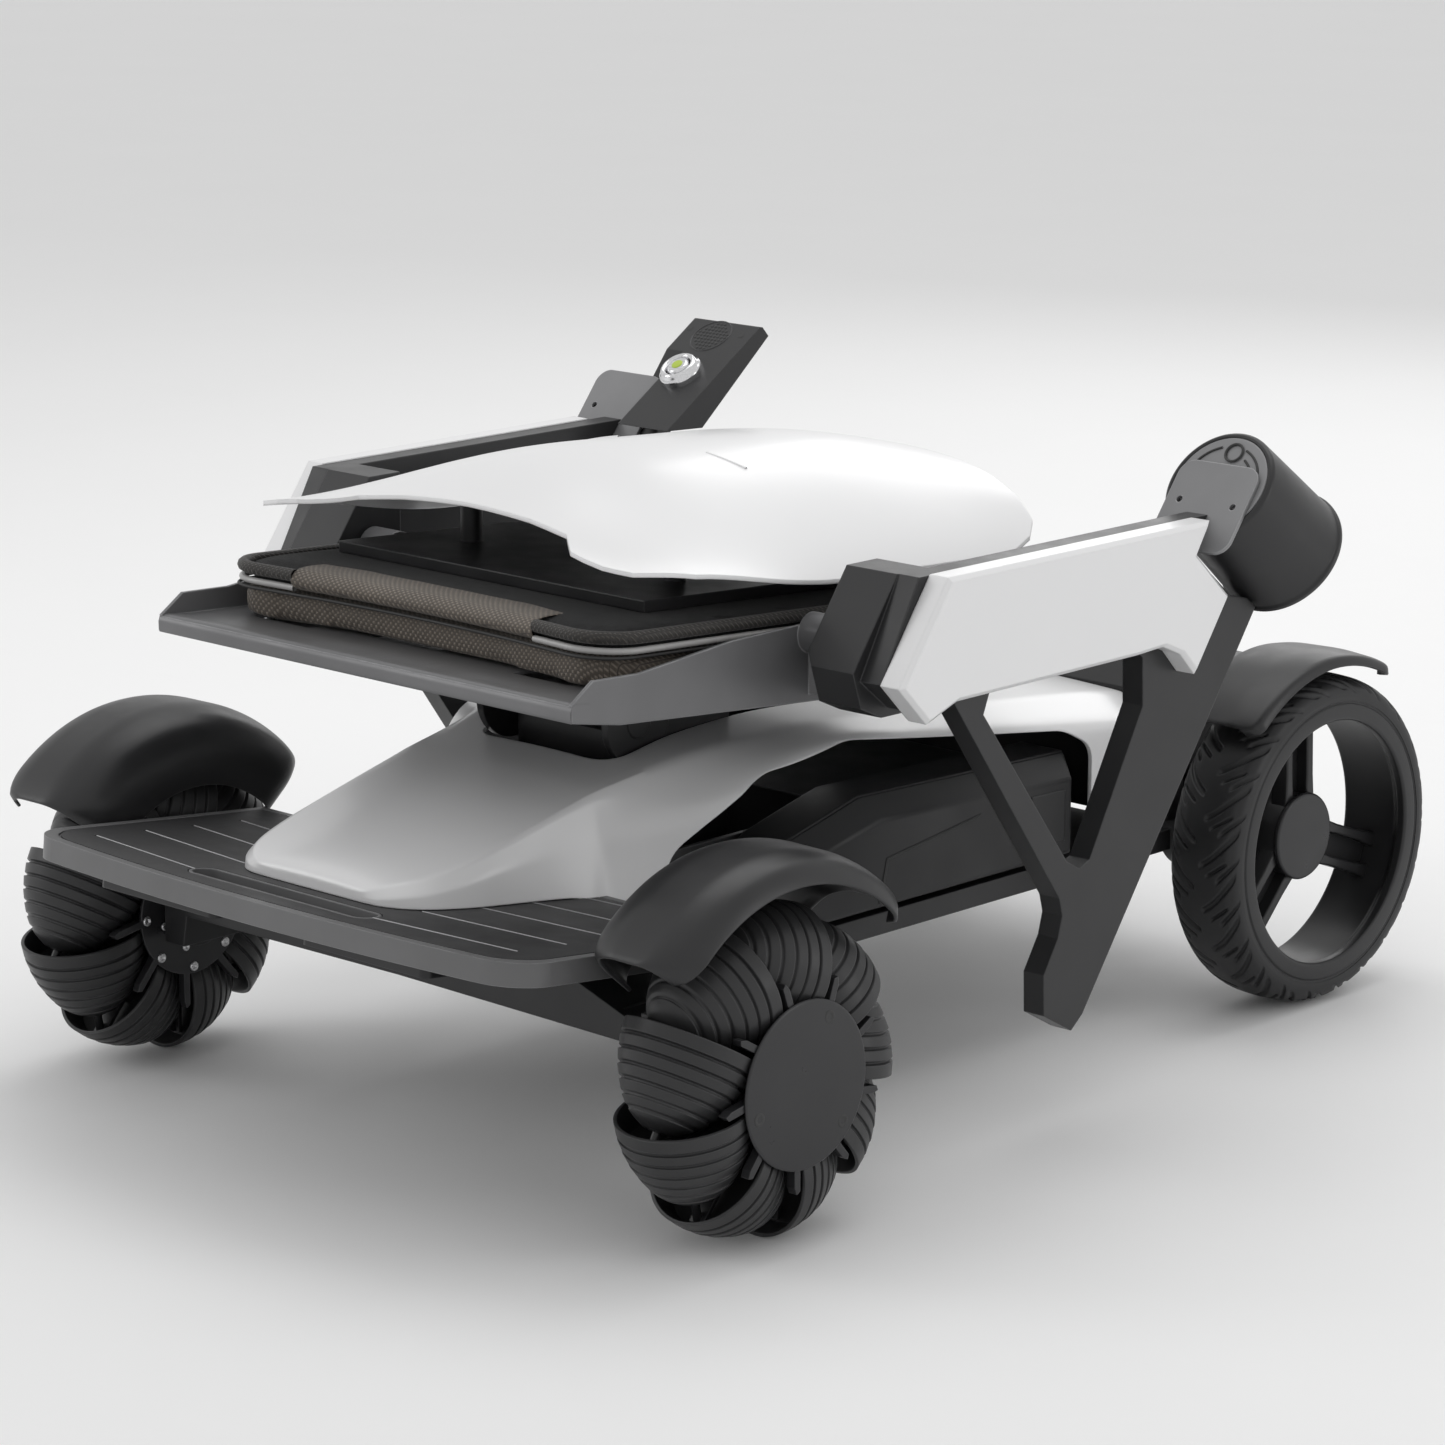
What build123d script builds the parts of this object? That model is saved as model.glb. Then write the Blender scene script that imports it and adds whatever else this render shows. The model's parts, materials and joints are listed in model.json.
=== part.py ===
from build123d import *
import os
from math import atan2, cos, degrees, radians, sin

os.makedirs("parts", exist_ok=True)

# ---------------------------------------------------------------------------
# Folding four wheel powered mobility chassis, shown folded for transport.
# +Z up, front towards -Y, the rider's left towards +X, ground at z = 0.
# Sizes are in millimetres. Lengths along the machine are laid out from a side
# view datum; save() shifts every piece so that y = 0 is the middle of the
# overall length.
# ---------------------------------------------------------------------------
DATUM_Y = -32.835

# Rear wheels: 10 inch tyres, 62 wide
REAR_AXLE_Y, REAR_TYRE_R, REAR_TYRE_W = 397.7, 125.0, 62.0
REAR_WHEEL_X = 221.0
REAR_RIM_R, REAR_LIP_R, REAR_CAP_R = 107.0, 92.4, 33.4

# Front omnidirectional wheels: nine nested bell rollers each
FRONT_AXLE_Y, OMNI_R = -282.9, 111.5
OMNI_X = 300.0
ROLLER_COUNT, ROLLER_RING_R = 9, 67.0
ROLLER_PITCH = 360.0 / ROLLER_COUNT
FIRST_ROLLER = 30.0
PIN_R, AXLE_R, RUNNING = 6.0, 10.0, 0.06

# Footplate: tilted, its top passing through PLATE_Y, PLATE_Z
PLATE_Y, PLATE_Z, PLATE_TILT = -340.0, 191.6, 5.9
PLATE_HALF, PLATE_T = 243.5, 16.0

# Body
BODY_HALF, BODY_WALL = 161.0, 3.5
FRAME_Z0, FRAME_Z1 = 117.0, 133.0

# Seat: pan floor falls towards the rear
SEAT_HALF, SEAT_Y, SEAT_Z, SEAT_SLOPE = 203.0, -345.0, 346.0, 0.058
PAN_T = 2.5

# Backrest hinge and armrest hinge (side view)
BACK_HINGE = (150.0, 352.0)
ARM_HINGE = (-125.0, 360.0)
HINGE_R = 8.0

# Armrest layers across the machine
BLOCK_X, ARM_X0, ARM_X1, COVER_X1 = 234.0, 279.0, 297.0, 316.0
ARM_TOP = 410.0

# End bracket plane: tilted back from the vertical
BRACKET_TILT = 52.0
BRACKET_Y, BRACKET_Z = 184.4, 416.9


def save(shape, node):
    """Label a finished piece, shift it to the row frame and write its STEP."""
    placed = shape.moved(Location((0, DATUM_Y, 0)))
    placed.label = node
    export_step(placed, f"parts/{node}.step")


def mirrored(shape):
    """The same piece for the other side of the machine."""
    return mirror(shape, about=Plane.YZ)


def save_pair(shape, node):
    """Write the left piece and its mirror image on the right."""
    save(shape, f"{node}_left")
    save(mirrored(shape), f"{node}_right")


def save_both(shape, node):
    """Write one node that holds the piece and its mirror image."""
    save(shape + mirrored(shape), node)


def side_plane(x):
    """Side view plane at x: local x runs to the rear, local y runs up."""
    return Plane.YZ.offset(x)


def around(y, z, angle, radius):
    """Side view point at an angle from +Y towards +Z about (y, z)."""
    return (y + radius * cos(radians(angle)), z + radius * sin(radians(angle)))


def seat_z(y):
    """Height of the seat pan floor's top."""
    return SEAT_Z - SEAT_SLOPE * (y - SEAT_Y)


def plate_z(y):
    """Height of the footplate's top."""
    return PLATE_Z - (y - PLATE_Y) * sin(radians(PLATE_TILT))


# ---------------------------------------------------------------------------
# Front omnidirectional wheels
# ---------------------------------------------------------------------------
def roller_plane(angle, x=OMNI_X):
    """Roller frame: local x is the spin axis, local -y points out of the wheel."""
    y, z = around(FRONT_AXLE_Y, OMNI_R, angle, ROLLER_RING_R)
    tangent = (0, -sin(radians(angle)), cos(radians(angle)))
    return Plane(origin=(x, y, z), x_dir=tangent, z_dir=(1, 0, 0))


ROLLER_BIG_R, ROLLER_LEN, CUP_DEPTH = 44.5, 62.0, 25.0

for number in range(ROLLER_COUNT):
    plane = roller_plane(FIRST_ROLLER + number * ROLLER_PITCH)
    with BuildPart() as roller:
        with BuildSketch(plane):
            with BuildLine():
                Spline((0, ROLLER_BIG_R), (20, 42), (35, 36.5), (45, 31), (52, 25.5), (58, 18),
                    (ROLLER_LEN, 10))
                Polyline((ROLLER_LEN, 10), (ROLLER_LEN, PIN_R + RUNNING), (CUP_DEPTH, PIN_R + RUNNING),
                         (CUP_DEPTH, 24), (23, 34), (19.5, 39.4), (0, 41.6), (0, ROLLER_BIG_R))
            make_face()
        revolve(axis=Axis(plane.origin, plane.x_dir))
    save_pair(roller.part, f"roller_{number + 1}")

HUB_BARREL_R, HUB_PLATE_R, HUB_INNER_X, HUB_OUTER_X = 19.0, 47.0, 43.5, 44.2
STRAP_HALF = 6.0

with BuildPart() as omni_hub:
    with BuildSketch(side_plane(OMNI_X - HUB_INNER_X)):
        with Locations((FRONT_AXLE_Y, OMNI_R)):
            Circle(HUB_BARREL_R)
    extrude(amount=HUB_INNER_X + HUB_OUTER_X)
    with BuildSketch(side_plane(OMNI_X - HUB_INNER_X)):
        with Locations((FRONT_AXLE_Y, OMNI_R)):
            Circle(HUB_PLATE_R)
    extrude(amount=2.2)
    with BuildSketch(side_plane(OMNI_X + HUB_OUTER_X - 2.2)):
        with Locations((FRONT_AXLE_Y, OMNI_R)):
            Circle(HUB_PLATE_R)
    extrude(amount=2.2)
    for number in range(ROLLER_COUNT):
        plane = roller_plane(FIRST_ROLLER + number * ROLLER_PITCH)
        # strap: rises from the barrel, enters the bell's mouth and carries both pins
        with BuildSketch(plane.offset(-STRAP_HALF)):
            with BuildLine():
                Polyline((-4, 49), (-4, 41.5), (0.5, 37.5), (15.5, 37.4), (15.5, -36.5), (18.5, -36.5),
                         (18.5, 35.8), (17.5, 37.4), (15.5, 39.2), (1.7, 39.2), (-2.2, 42), (-2.2, 49),
                         (-4, 49))
            make_face()
        extrude(amount=2 * STRAP_HALF)
        with BuildSketch(Plane(origin=plane.origin + plane.x_dir * 17, x_dir=(1, 0, 0), z_dir=plane.x_dir)):
            Circle(PIN_R)
        extrude(amount=ROLLER_LEN + 0.4 - 17)
        with BuildSketch(Plane(origin=plane.origin + plane.x_dir * 60, x_dir=(1, 0, 0), z_dir=plane.x_dir)):
            Circle(3)
        extrude(amount=17.5)
        # fins beside the roller tails, on both faces of the wheel
        for near, far in ((37, HUB_OUTER_X), (-HUB_INNER_X, -37)):
            with BuildSketch(plane.offset(near)):
                with BuildLine():
                    Polyline((-9, 26), (-9, 0), (-7, -5), (-4, -3), (-4, 26), (-9, 26))
                make_face()
            extrude(amount=far - near)
    with BuildSketch(side_plane(OMNI_X - HUB_INNER_X)):
        with Locations((FRONT_AXLE_Y, OMNI_R)):
            Circle(AXLE_R + RUNNING)
    extrude(amount=70, mode=Mode.SUBTRACT)
save_pair(omni_hub.part, "omni_hub")

with BuildPart() as omni_cover:
    with BuildSketch(side_plane(OMNI_X + HUB_OUTER_X)):
        with Locations((FRONT_AXLE_Y, OMNI_R)):
            Circle(56.4)
        for angle in (63, 196, 317):
            with Locations(around(FRONT_AXLE_Y, OMNI_R, angle, 46)):
                Circle(3.2, mode=Mode.SUBTRACT)
    extrude(amount=2.3)
save_pair(omni_cover.part, "omni_cover")

with BuildPart() as front_axle:
    with BuildSketch(side_plane(246)):
        with Locations((FRONT_AXLE_Y, OMNI_R)):
            Circle(AXLE_R)
    extrude(amount=78)
    with BuildSketch(side_plane(246)):
        with Locations((FRONT_AXLE_Y, OMNI_R)):
            Circle(24)
    extrude(amount=8)
save_both(front_axle.part, "front_axles")

# ---------------------------------------------------------------------------
# Rear wheels
# ---------------------------------------------------------------------------
TYRE_X0, TYRE_X1 = REAR_WHEEL_X - REAR_TYRE_W / 2, REAR_WHEEL_X + REAR_TYRE_W / 2
REAR_AXIS = Axis((0, REAR_AXLE_Y, REAR_TYRE_R), (1, 0, 0))
REAR_SECTION = Plane(origin=(0, REAR_AXLE_Y, REAR_TYRE_R), x_dir=(1, 0, 0), z_dir=(0, -1, 0))

with BuildPart() as rear_tyre:
    with BuildSketch(REAR_SECTION):
        with BuildLine():
            Polyline((TYRE_X1, REAR_RIM_R), (TYRE_X0, REAR_RIM_R), (TYRE_X0, 114))
            ThreePointArc((TYRE_X0, 114), (TYRE_X0 + 7, 121.5), (TYRE_X0 + 16, 124.2))
            ThreePointArc((TYRE_X0 + 16, 124.2), (REAR_WHEEL_X, REAR_TYRE_R), (TYRE_X1 - 16, 124.2))
            ThreePointArc((TYRE_X1 - 16, 124.2), (TYRE_X1 - 7, 121.5), (TYRE_X1, 114))
            Line((TYRE_X1, 114), (TYRE_X1, REAR_RIM_R))
        make_face()
    revolve(axis=REAR_AXIS)
save_pair(rear_tyre.part, "rear_tyre")

RIM_WALL_R, SPOKE_X0, SPOKE_X1, HUB_R = 99.0, 206.0, 222.0, 30.0

with BuildPart() as rear_rim:
    with BuildSketch(REAR_SECTION):
        with BuildLine():
            Polyline((TYRE_X0, REAR_RIM_R), (TYRE_X1 - 1, REAR_RIM_R), (TYRE_X1 - 1, REAR_LIP_R),
                     (TYRE_X1 - 10, REAR_LIP_R), (TYRE_X1 - 14, RIM_WALL_R), (TYRE_X0, RIM_WALL_R),
                     (TYRE_X0, REAR_RIM_R))
        make_face()
    revolve(axis=REAR_AXIS)
    with BuildSketch(side_plane(194)):
        with Locations((REAR_AXLE_Y, REAR_TYRE_R)):
            Circle(HUB_R)
    extrude(amount=28.5)
    with BuildSketch(side_plane(SPOKE_X0)):
        for angle in (92, 226, 340):
            for offset_side in (-11, 11):
                centre = around(*around(REAR_AXLE_Y, REAR_TYRE_R, angle, 63), angle + 90, offset_side)
                with Locations(Location((*centre, 0), (0, 0, angle))):
                    Rectangle(76, 6)
    extrude(amount=SPOKE_X1 - SPOKE_X0)
    with BuildSketch(side_plane(194)):
        with Locations((REAR_AXLE_Y, REAR_TYRE_R)):
            Circle(AXLE_R + RUNNING)
    extrude(amount=24, mode=Mode.SUBTRACT)
save_pair(rear_rim.part, "rear_rim")

with BuildPart() as wheel_cap:
    with BuildSketch(side_plane(222.5)):
        with Locations((REAR_AXLE_Y, REAR_TYRE_R)):
            Circle(REAR_CAP_R)
    extrude(amount=4)
    chamfer(wheel_cap.faces().sort_by(Axis.X)[-1].edges(), 1.2)
save_pair(wheel_cap.part, "wheel_cap")

# Rear gear motors with their axle stubs
with BuildPart() as rear_motor:
    with BuildSketch(side_plane(118)):
        with Locations((REAR_AXLE_Y, REAR_TYRE_R)):
            Circle(42)
    extrude(amount=58)
    with BuildSketch(side_plane(176)):
        with Locations((REAR_AXLE_Y, REAR_TYRE_R)):
            Circle(52)
        with Locations((REAR_AXLE_Y - 48, REAR_TYRE_R + 4)):
            RectangleRounded(64, 66, 10)
    extrude(amount=10)
    with BuildSketch(side_plane(186)):
        with Locations((REAR_AXLE_Y, REAR_TYRE_R)):
            Circle(AXLE_R)
    extrude(amount=26)
save_both(rear_motor.part, "rear_motors")

# ---------------------------------------------------------------------------
# Fenders: thin sections turned about the axles
# ---------------------------------------------------------------------------
FRONT_SECTION = Plane(origin=(0, FRONT_AXLE_Y, OMNI_R), x_dir=(1, 0, 0), z_dir=(0, -1, 0))

with BuildPart() as front_fender:
    with BuildSketch(FRONT_SECTION.rotated((50, 0, 0))):
        with BuildLine():
            Line((247, 92), (247, 118))
            ThreePointArc((247, 118), (256.9, 139.1), (278, 148.4))
            ThreePointArc((278, 148.4), (319, 147.2), (342, 129))
            Line((342, 129), (340, 127))
            ThreePointArc((340, 127), (317.6, 144.6), (278, 145.8))
            ThreePointArc((278, 145.8), (259, 136.9), (249.6, 118))
            Polyline((249.6, 118), (249.6, 92), (247, 92))
        make_face()
    revolve(axis=Axis((0, FRONT_AXLE_Y, OMNI_R), (-1, 0, 0)), revolution_arc=100)
save_both(front_fender.part, "front_fenders")

with BuildPart() as rear_fender:
    with BuildSketch(REAR_SECTION.rotated((43, 0, 0))):
        with BuildLine():
            Polyline((177, 137.7), (177, 140.3), (196, 142.8))
            ThreePointArc((196, 142.8), (228, 143.8), (254, 139.8))
            Line((254, 139.8), (253.5, 137.2))
            ThreePointArc((253.5, 137.2), (228, 141.2), (196, 140.2))
            Line((196, 140.2), (177, 137.7))
        make_face()
    revolve(axis=Axis(REAR_AXIS.position, (-1, 0, 0)), revolution_arc=74)
save_both(rear_fender.part, "rear_fenders")

# ---------------------------------------------------------------------------
# Footplate and front running gear
# ---------------------------------------------------------------------------
TREAD = Plane(origin=(0, PLATE_Y, PLATE_Z), x_dir=(1, 0, 0)).rotated((-PLATE_TILT, 0, 0))
PLATE_FRONT, PLATE_BACK, PLATE_BOW = -116.0, 116.0, 18.0
GROOVE_PITCH, GROOVE_COUNT = 43.7, 5


def plate_face(inset):
    """Plate outline drawn flat: bowed front edge, rounded front corners, straight sides and back."""
    half, front, back = PLATE_HALF - inset, PLATE_FRONT + inset, PLATE_BACK - inset
    with BuildSketch() as outline:
        with BuildLine():
            ThreePointArc((-half, front + PLATE_BOW), (0, front), (half, front + PLATE_BOW))
            Polyline((half, front + PLATE_BOW), (half, back), (-half, back), (-half, front + PLATE_BOW))
        make_face()
        fillet(outline.vertices().sort_by(Axis.Y)[:2], radius=34)
    return outline.sketch


with BuildPart() as footplate:
    with BuildSketch(TREAD):
        add(plate_face(0))
    extrude(amount=-PLATE_T)
    # hand slot ahead of the body nose
    with BuildSketch(TREAD):
        with Locations((0, -78)):
            SlotOverall(176, 20)
    extrude(amount=-9, mode=Mode.SUBTRACT)
    # recess that holds the tread mat
    with BuildSketch(TREAD):
        add(plate_face(7))
        with Locations((0, -78)):
            SlotOverall(180, 24, mode=Mode.SUBTRACT)
    extrude(amount=-2, mode=Mode.SUBTRACT)
save(footplate.part, "footplate")

with BuildPart() as footplate_mat:
    with BuildSketch(TREAD):
        add(plate_face(8.5))
        with Locations((0, -78)):
            SlotOverall(182, 26, mode=Mode.SUBTRACT)
    extrude(amount=-2)
    with BuildSketch(TREAD):
        for row in range(GROOVE_COUNT):
            for side in (-1, 1):
                with Locations(Location((side * 149, -73 + row * GROOVE_PITCH, 0), (0, 0, side * 6.4))):
                    SlotOverall(125, 2)
    extrude(amount=-0.8, mode=Mode.SUBTRACT)
save(footplate_mat.part, "footplate_mat")

with BuildPart() as rails:
    with BuildSketch(TREAD.offset(-PLATE_T)):
        with Locations((-103, -78), (103, -78)):
            RectangleRounded(120, 44, 6)
    extrude(amount=-8)
save(rails.part, "footplate_rails")

BEAM_Y0, BEAM_Y1, BEAM_Z = FRONT_AXLE_Y - 34, FRONT_AXLE_Y + 34, 122.0
with BuildPart() as front_beam:
    with BuildSketch(Plane.XZ.offset(-BEAM_Y1)):
        with BuildLine():
            Polyline((0, BEAM_Z), (222, BEAM_Z - 2), (226, 97), (246, 97), (246, 130), (228, 134),
                (150, 160))
            Polyline((150, 160), (0, 160), (0, BEAM_Z))
        make_face()
        mirror(about=Plane.YZ)
    extrude(amount=BEAM_Y1 - BEAM_Y0)
    # hollow underside between the two wheel brackets
    with Locations((0, FRONT_AXLE_Y, BEAM_Z)):
        Box(420, 56, 36, mode=Mode.SUBTRACT)
save(front_beam.part, "front_axle_beam")

# ---------------------------------------------------------------------------
# Body: base frame, white cover shell, batteries, electronics, tail cover
# ---------------------------------------------------------------------------
NOSE_Y0, NOSE_Y1 = -394.0, -222.0

# Cover sections: y, then half-width and height of sill, flank and ridge, then crown height
NOSE_SECTIONS = (
    (NOSE_Y0, (62, None), (61, 200), (52, 204), 205),
    (-382, (80, None), (78, 208), (68, 214), 216),
    (-355, (97, None), (92, 212), (82, 219), 223),
    (-300, (104, None), (97, 222), (88, 232), 237),
    (NOSE_Y1, (113, None), (104, 238), (93, 250), 254),
)
BODY_SECTIONS = (
    (NOSE_Y1, (113, FRAME_Z1), (104, 238), (93, 250), 254),
    (-165, (136, FRAME_Z1), (130, 244), (98, 259), 262),
    (-115, (BODY_HALF, FRAME_Z1), (159, 254), (112, 266), 268),
    (-20, (BODY_HALF, FRAME_Z1), (BODY_HALF, 264), (120, 269), 270),
    (196, (BODY_HALF, FRAME_Z1), (BODY_HALF, 234), (120, 246), 249),
    (322, (152, FRAME_Z1), (152, 216), (112, 230), 234),
)


def section_face(section, wall):
    """One cover section in the XZ plane at its y, drawn in by the wall thickness."""
    y, (sill_x, sill_z), (flank_x, flank_z), (ridge_x, ridge_z), crown_z = section
    if sill_z is None:
        sill_z = plate_z(y) + 0.4
    sill_z -= 0 if wall == 0 else 1
    half = [(sill_x - wall, sill_z), (flank_x - wall, max(flank_z - wall, sill_z + 0.5)),
            (ridge_x - wall, max(ridge_z - wall, sill_z + 1)),
            (ridge_x / 2, max(crown_z - wall, sill_z + 1.2))]
    with BuildSketch(Plane.XZ.offset(-y)) as face:
        with BuildLine():
            Polyline(*half, *[(-x, z) for x, z in reversed(half)], half[0])
        make_face()
    return face.sketch.face()


def cover_solid(sections, wall):
    """Straight-sided loft through the cover sections."""
    faces = [section_face(section, wall) for section in sections]
    return Solid.make_loft([face.outer_wire() for face in faces], ruled=True)


BAY_X = 108.0
BAY = ((-210, 100), (-180, 201), (-119, 252), (-68, 258), (-36, 262), (196, 229), (226, 213), (226, 100))

with BuildPart() as body_cover:
    add(cover_solid(NOSE_SECTIONS, 0))
    add(cover_solid(BODY_SECTIONS, 0))
    add(cover_solid(NOSE_SECTIONS[1:], BODY_WALL), mode=Mode.SUBTRACT)
    add(cover_solid(BODY_SECTIONS[:-1] + ((318,) + BODY_SECTIONS[-1][1:],), BODY_WALL), mode=Mode.SUBTRACT)
    # battery bays, open at the sides
    for side in (BAY_X, -BAY_X - 60):
        with BuildSketch(side_plane(side)):
            Polygon(*BAY, align=None)
        extrude(amount=60, mode=Mode.SUBTRACT)
    # opening under the seat
    with BuildSketch(Plane.XY.offset(225)):
        with Locations((0, -62)):
            RectangleRounded(136, 242, 22)
    extrude(amount=60, mode=Mode.SUBTRACT)
save(body_cover.part, "body_cover")

with BuildPart() as base_frame:
    with BuildSketch(Plane.XY.offset(FRAME_Z0)):
        with Locations((0, 54)):
            Rectangle(2 * (BODY_HALF - 3), 536)
        with Locations((0, -224)):
            Rectangle(170, 48)
    extrude(amount=FRAME_Z1 - FRAME_Z0 - 0.2)
    with BuildSketch(Plane.XY.offset(104)):
        with Locations((0, 60)):
            RectangleRounded(210, 440, 20)
    extrude(amount=FRAME_Z0 - 104)
    # bay walls behind the batteries
    for side in (-1, 1):
        with Locations((side * 104, 20, 165)):
            Box(4, 380, 66)
    # neck over the front beam, carrying the footplate
    neck_front, neck_back = BEAM_Y1 - 60, BEAM_Y1 + 26
    with BuildSketch(side_plane(-85)):
        with BuildLine():
            Polyline((neck_front, 160.4), (neck_front, plate_z(neck_front) - PLATE_T - 0.6))
            Line((neck_front, plate_z(neck_front) - PLATE_T - 0.6), (neck_back,
                plate_z(neck_back) - PLATE_T - 0.6))
            Polyline((neck_back, plate_z(neck_back) - PLATE_T - 0.6), (neck_back, FRAME_Z0 + 1))
            Polyline((neck_back, FRAME_Z0 + 1), (BEAM_Y1 + 0.4, FRAME_Z0 + 1), (BEAM_Y1 + 0.4, 160.4))
            Line((BEAM_Y1 + 0.4, 160.4), (neck_front, 160.4))
        make_face()
    extrude(amount=170)
save(base_frame.part, "base_frame")

BATTERY = ((204, 133.4), (204, 213), (-20, 219), (-95, 200), (-160, 152), (-164, 133.4))
with BuildPart() as battery:
    with BuildSketch(side_plane(BAY_X + 1)):
        Polygon(*BATTERY, align=None)
    extrude(amount=166 - BAY_X - 1)
    chamfer(battery.faces().sort_by(Axis.X)[-1].edges().sort_by(Axis.Z)[2:], length=10, length2=14)
save_pair(battery.part, "battery")

with BuildPart() as control_unit:
    with Locations((0, 120, 163)):
        Box(150, 180, 60)
    fillet(control_unit.edges().filter_by(Axis.Z), radius=6)
save(control_unit.part, "control_unit")

with BuildPart() as rear_cover:
    with BuildSketch(side_plane(-150)):
        with BuildLine():
            Polyline((323, 136), (323, 234), (345, 252), (440, 246), (462, 226), (462, 176), (447, 176))
            Polyline((447, 176), (352, 176), (352, 136), (323, 136))
        make_face()
    extrude(amount=300)
    chamfer(rear_cover.edges().filter_by(Axis.Z), length=6)
save(rear_cover.part, "rear_cover")

# ---------------------------------------------------------------------------
# Seat: column, tilt bracket, pan and cushion
# ---------------------------------------------------------------------------
BRACKET_PIVOT_Y, BRACKET_PIVOT_Z = -150.0, 280.0

with BuildPart() as seat_bracket:
    with Locations((0, -100, 226)):
        Box(96, 112, 184)
    # levers and pivot discs each side of the column
    for side in (-1, 1):
        with BuildSketch(side_plane(side * 62 - 3)):
            with Locations((BRACKET_PIVOT_Y, BRACKET_PIVOT_Z)):
                Circle(30)
        extrude(amount=6)
        with BuildSketch(side_plane(side * 62 - 2.5)):
            Polygon((-196, 318), (-150, 318), (-60, 318), (-60, 262), (-150, 256), align=None)
        extrude(amount=5)
    with BuildSketch(side_plane(-66)):
        with Locations((BRACKET_PIVOT_Y, BRACKET_PIVOT_Z)):
            Circle(11)
    extrude(amount=132)
    # top plate carried by the levers, just under the pan
    with BuildSketch(side_plane(-64.5)):
        with BuildLine():
            Polyline((-196, 316), (-40, 316), (-40, seat_z(-40) - PAN_T - 0.1))
            Polyline((-40, seat_z(-40) - PAN_T - 0.1), (-196, seat_z(-196) - PAN_T - 0.1), (-196, 316))
        make_face()
    extrude(amount=129)
save(seat_bracket.part, "seat_bracket")

PAN_BACK = 110.0
WING = ((-349.5, 335), (-306, 327), (-129.6, 313), (-100, 311), (-100, 367), (-200.6, 366.1),
        (-288.6, 358.2), (-330, 360), (-349.5, 347))
FLARE = ((203, -128), (231, -112), (231, -90), (203, -90))
FLARE_Z0, FLARE_Z1 = 318.0, 364.0
BACK_LUG = ((80, 318), (110, 317), (164, 344), (164, 362), (138, 362), (80, 320.5))

with BuildPart() as seat_pan:
    with BuildSketch(side_plane(-SEAT_HALF + PAN_T)):
        Polygon((-349.5, 335), (-347, 335), (-347, seat_z(-347) - PAN_T), (PAN_BACK,
            seat_z(PAN_BACK) - PAN_T),
                (PAN_BACK, seat_z(PAN_BACK)), (-349.5, seat_z(-349.5)), align=None)
    extrude(amount=2 * (SEAT_HALF - PAN_T))
    with BuildSketch(Plane.XY.offset(330)):
        for x0, x1, y0, y1 in ((-167, -107, -296, -270), (-65, 6, -281, -240), (93, 150, -298, -262)):
            with Locations(((x0 + x1) / 2, (y0 + y1) / 2)):
                RectangleRounded(x1 - x0, y1 - y0, 5)
    extrude(amount=20, mode=Mode.SUBTRACT)
    for side in (-1, 1):
        with BuildSketch(side_plane(side * (SEAT_HALF - PAN_T / 2) - PAN_T / 2)):
            Polygon(*WING, align=None)
        extrude(amount=PAN_T)
        # hinge flare, hollow from below, and the boss that holds the arm pin
        with BuildSketch(Plane.XY.offset(FLARE_Z0)):
            Polygon(*[(side * x, y) for x, y in FLARE], align=None)
        extrude(amount=FLARE_Z1 - FLARE_Z0)
        with BuildSketch(side_plane(side * 217 - 14)):
            with Locations(ARM_HINGE):
                Circle(14)
        extrude(amount=28)
        with Locations((side * 217, -99, (FLARE_Z0 + FLARE_Z1) / 2 - 3)):
            Box(23, 13, FLARE_Z1 - FLARE_Z0 - 6 + 0.1, mode=Mode.SUBTRACT)
        with BuildSketch(side_plane(side * 218.5 - 12.6)):
            with Locations(ARM_HINGE):
                Circle(HINGE_R + RUNNING)
        extrude(amount=25.2, mode=Mode.SUBTRACT)
        # lug and pin of the folding back
        with BuildSketch(side_plane(side * 156 - 3)):
            Polygon(*BACK_LUG, align=None)
        extrude(amount=6)
        with BuildSketch(side_plane(side * 139 - 15)):
            with Locations(BACK_HINGE):
                Circle(HINGE_R)
        extrude(amount=30)
save(seat_pan.part, "seat_pan")

with BuildPart() as seat_bolt:
    for y in (-322, -258):
        with Locations((192, y, seat_z(y) - PAN_T - 3.8)):
            Cylinder(7, 6)
    fillet(seat_bolt.faces().filter_by(Axis.Z).group_by(Axis.Z)[0].edges(), radius=1.5)
save_both(seat_bolt.part, "seat_bolts")

with BuildPart() as arm_pin:
    with BuildSketch(side_plane(206.2)):
        with Locations(ARM_HINGE):
            Circle(HINGE_R)
    extrude(amount=55.8)
save_both(arm_pin.part, "arm_pins")


PAD_CORNER = 38.0


def pad_outline(front, back, low, high):
    """Side outline of a flat pad lying on the sloping seat, low and high above the pan floor."""
    return [(front, seat_z(front) + low), (back, seat_z(back) + low), (back, seat_z(back) + high),
            (front, seat_z(front) + high)]


with BuildPart() as seat_cushion:
    with BuildSketch(side_plane(-190)):
        Polygon(*pad_outline(-312, 78, 2, 23), align=None)
    extrude(amount=380)
    fillet(seat_cushion.edges().filter_by(Axis.Z), radius=PAD_CORNER)
    fillet(seat_cushion.faces().sort_by(Axis.Z)[-1].edges(), radius=7)
save(seat_cushion.part, "seat_cushion")

# ---------------------------------------------------------------------------
# Folding back: frame plate, cushion and white crowned shell
# ---------------------------------------------------------------------------
with BuildPart() as back_cushion:
    with BuildSketch(side_plane(-190)):
        Polygon(*pad_outline(-308, 80, 25, 38), align=None)
    extrude(amount=380)
    fillet(back_cushion.edges().filter_by(Axis.Z), radius=PAD_CORNER)
    fillet(back_cushion.faces().sort_by(Axis.Z)[-1].edges(), radius=5)
save(back_cushion.part, "back_cushion")

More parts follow.
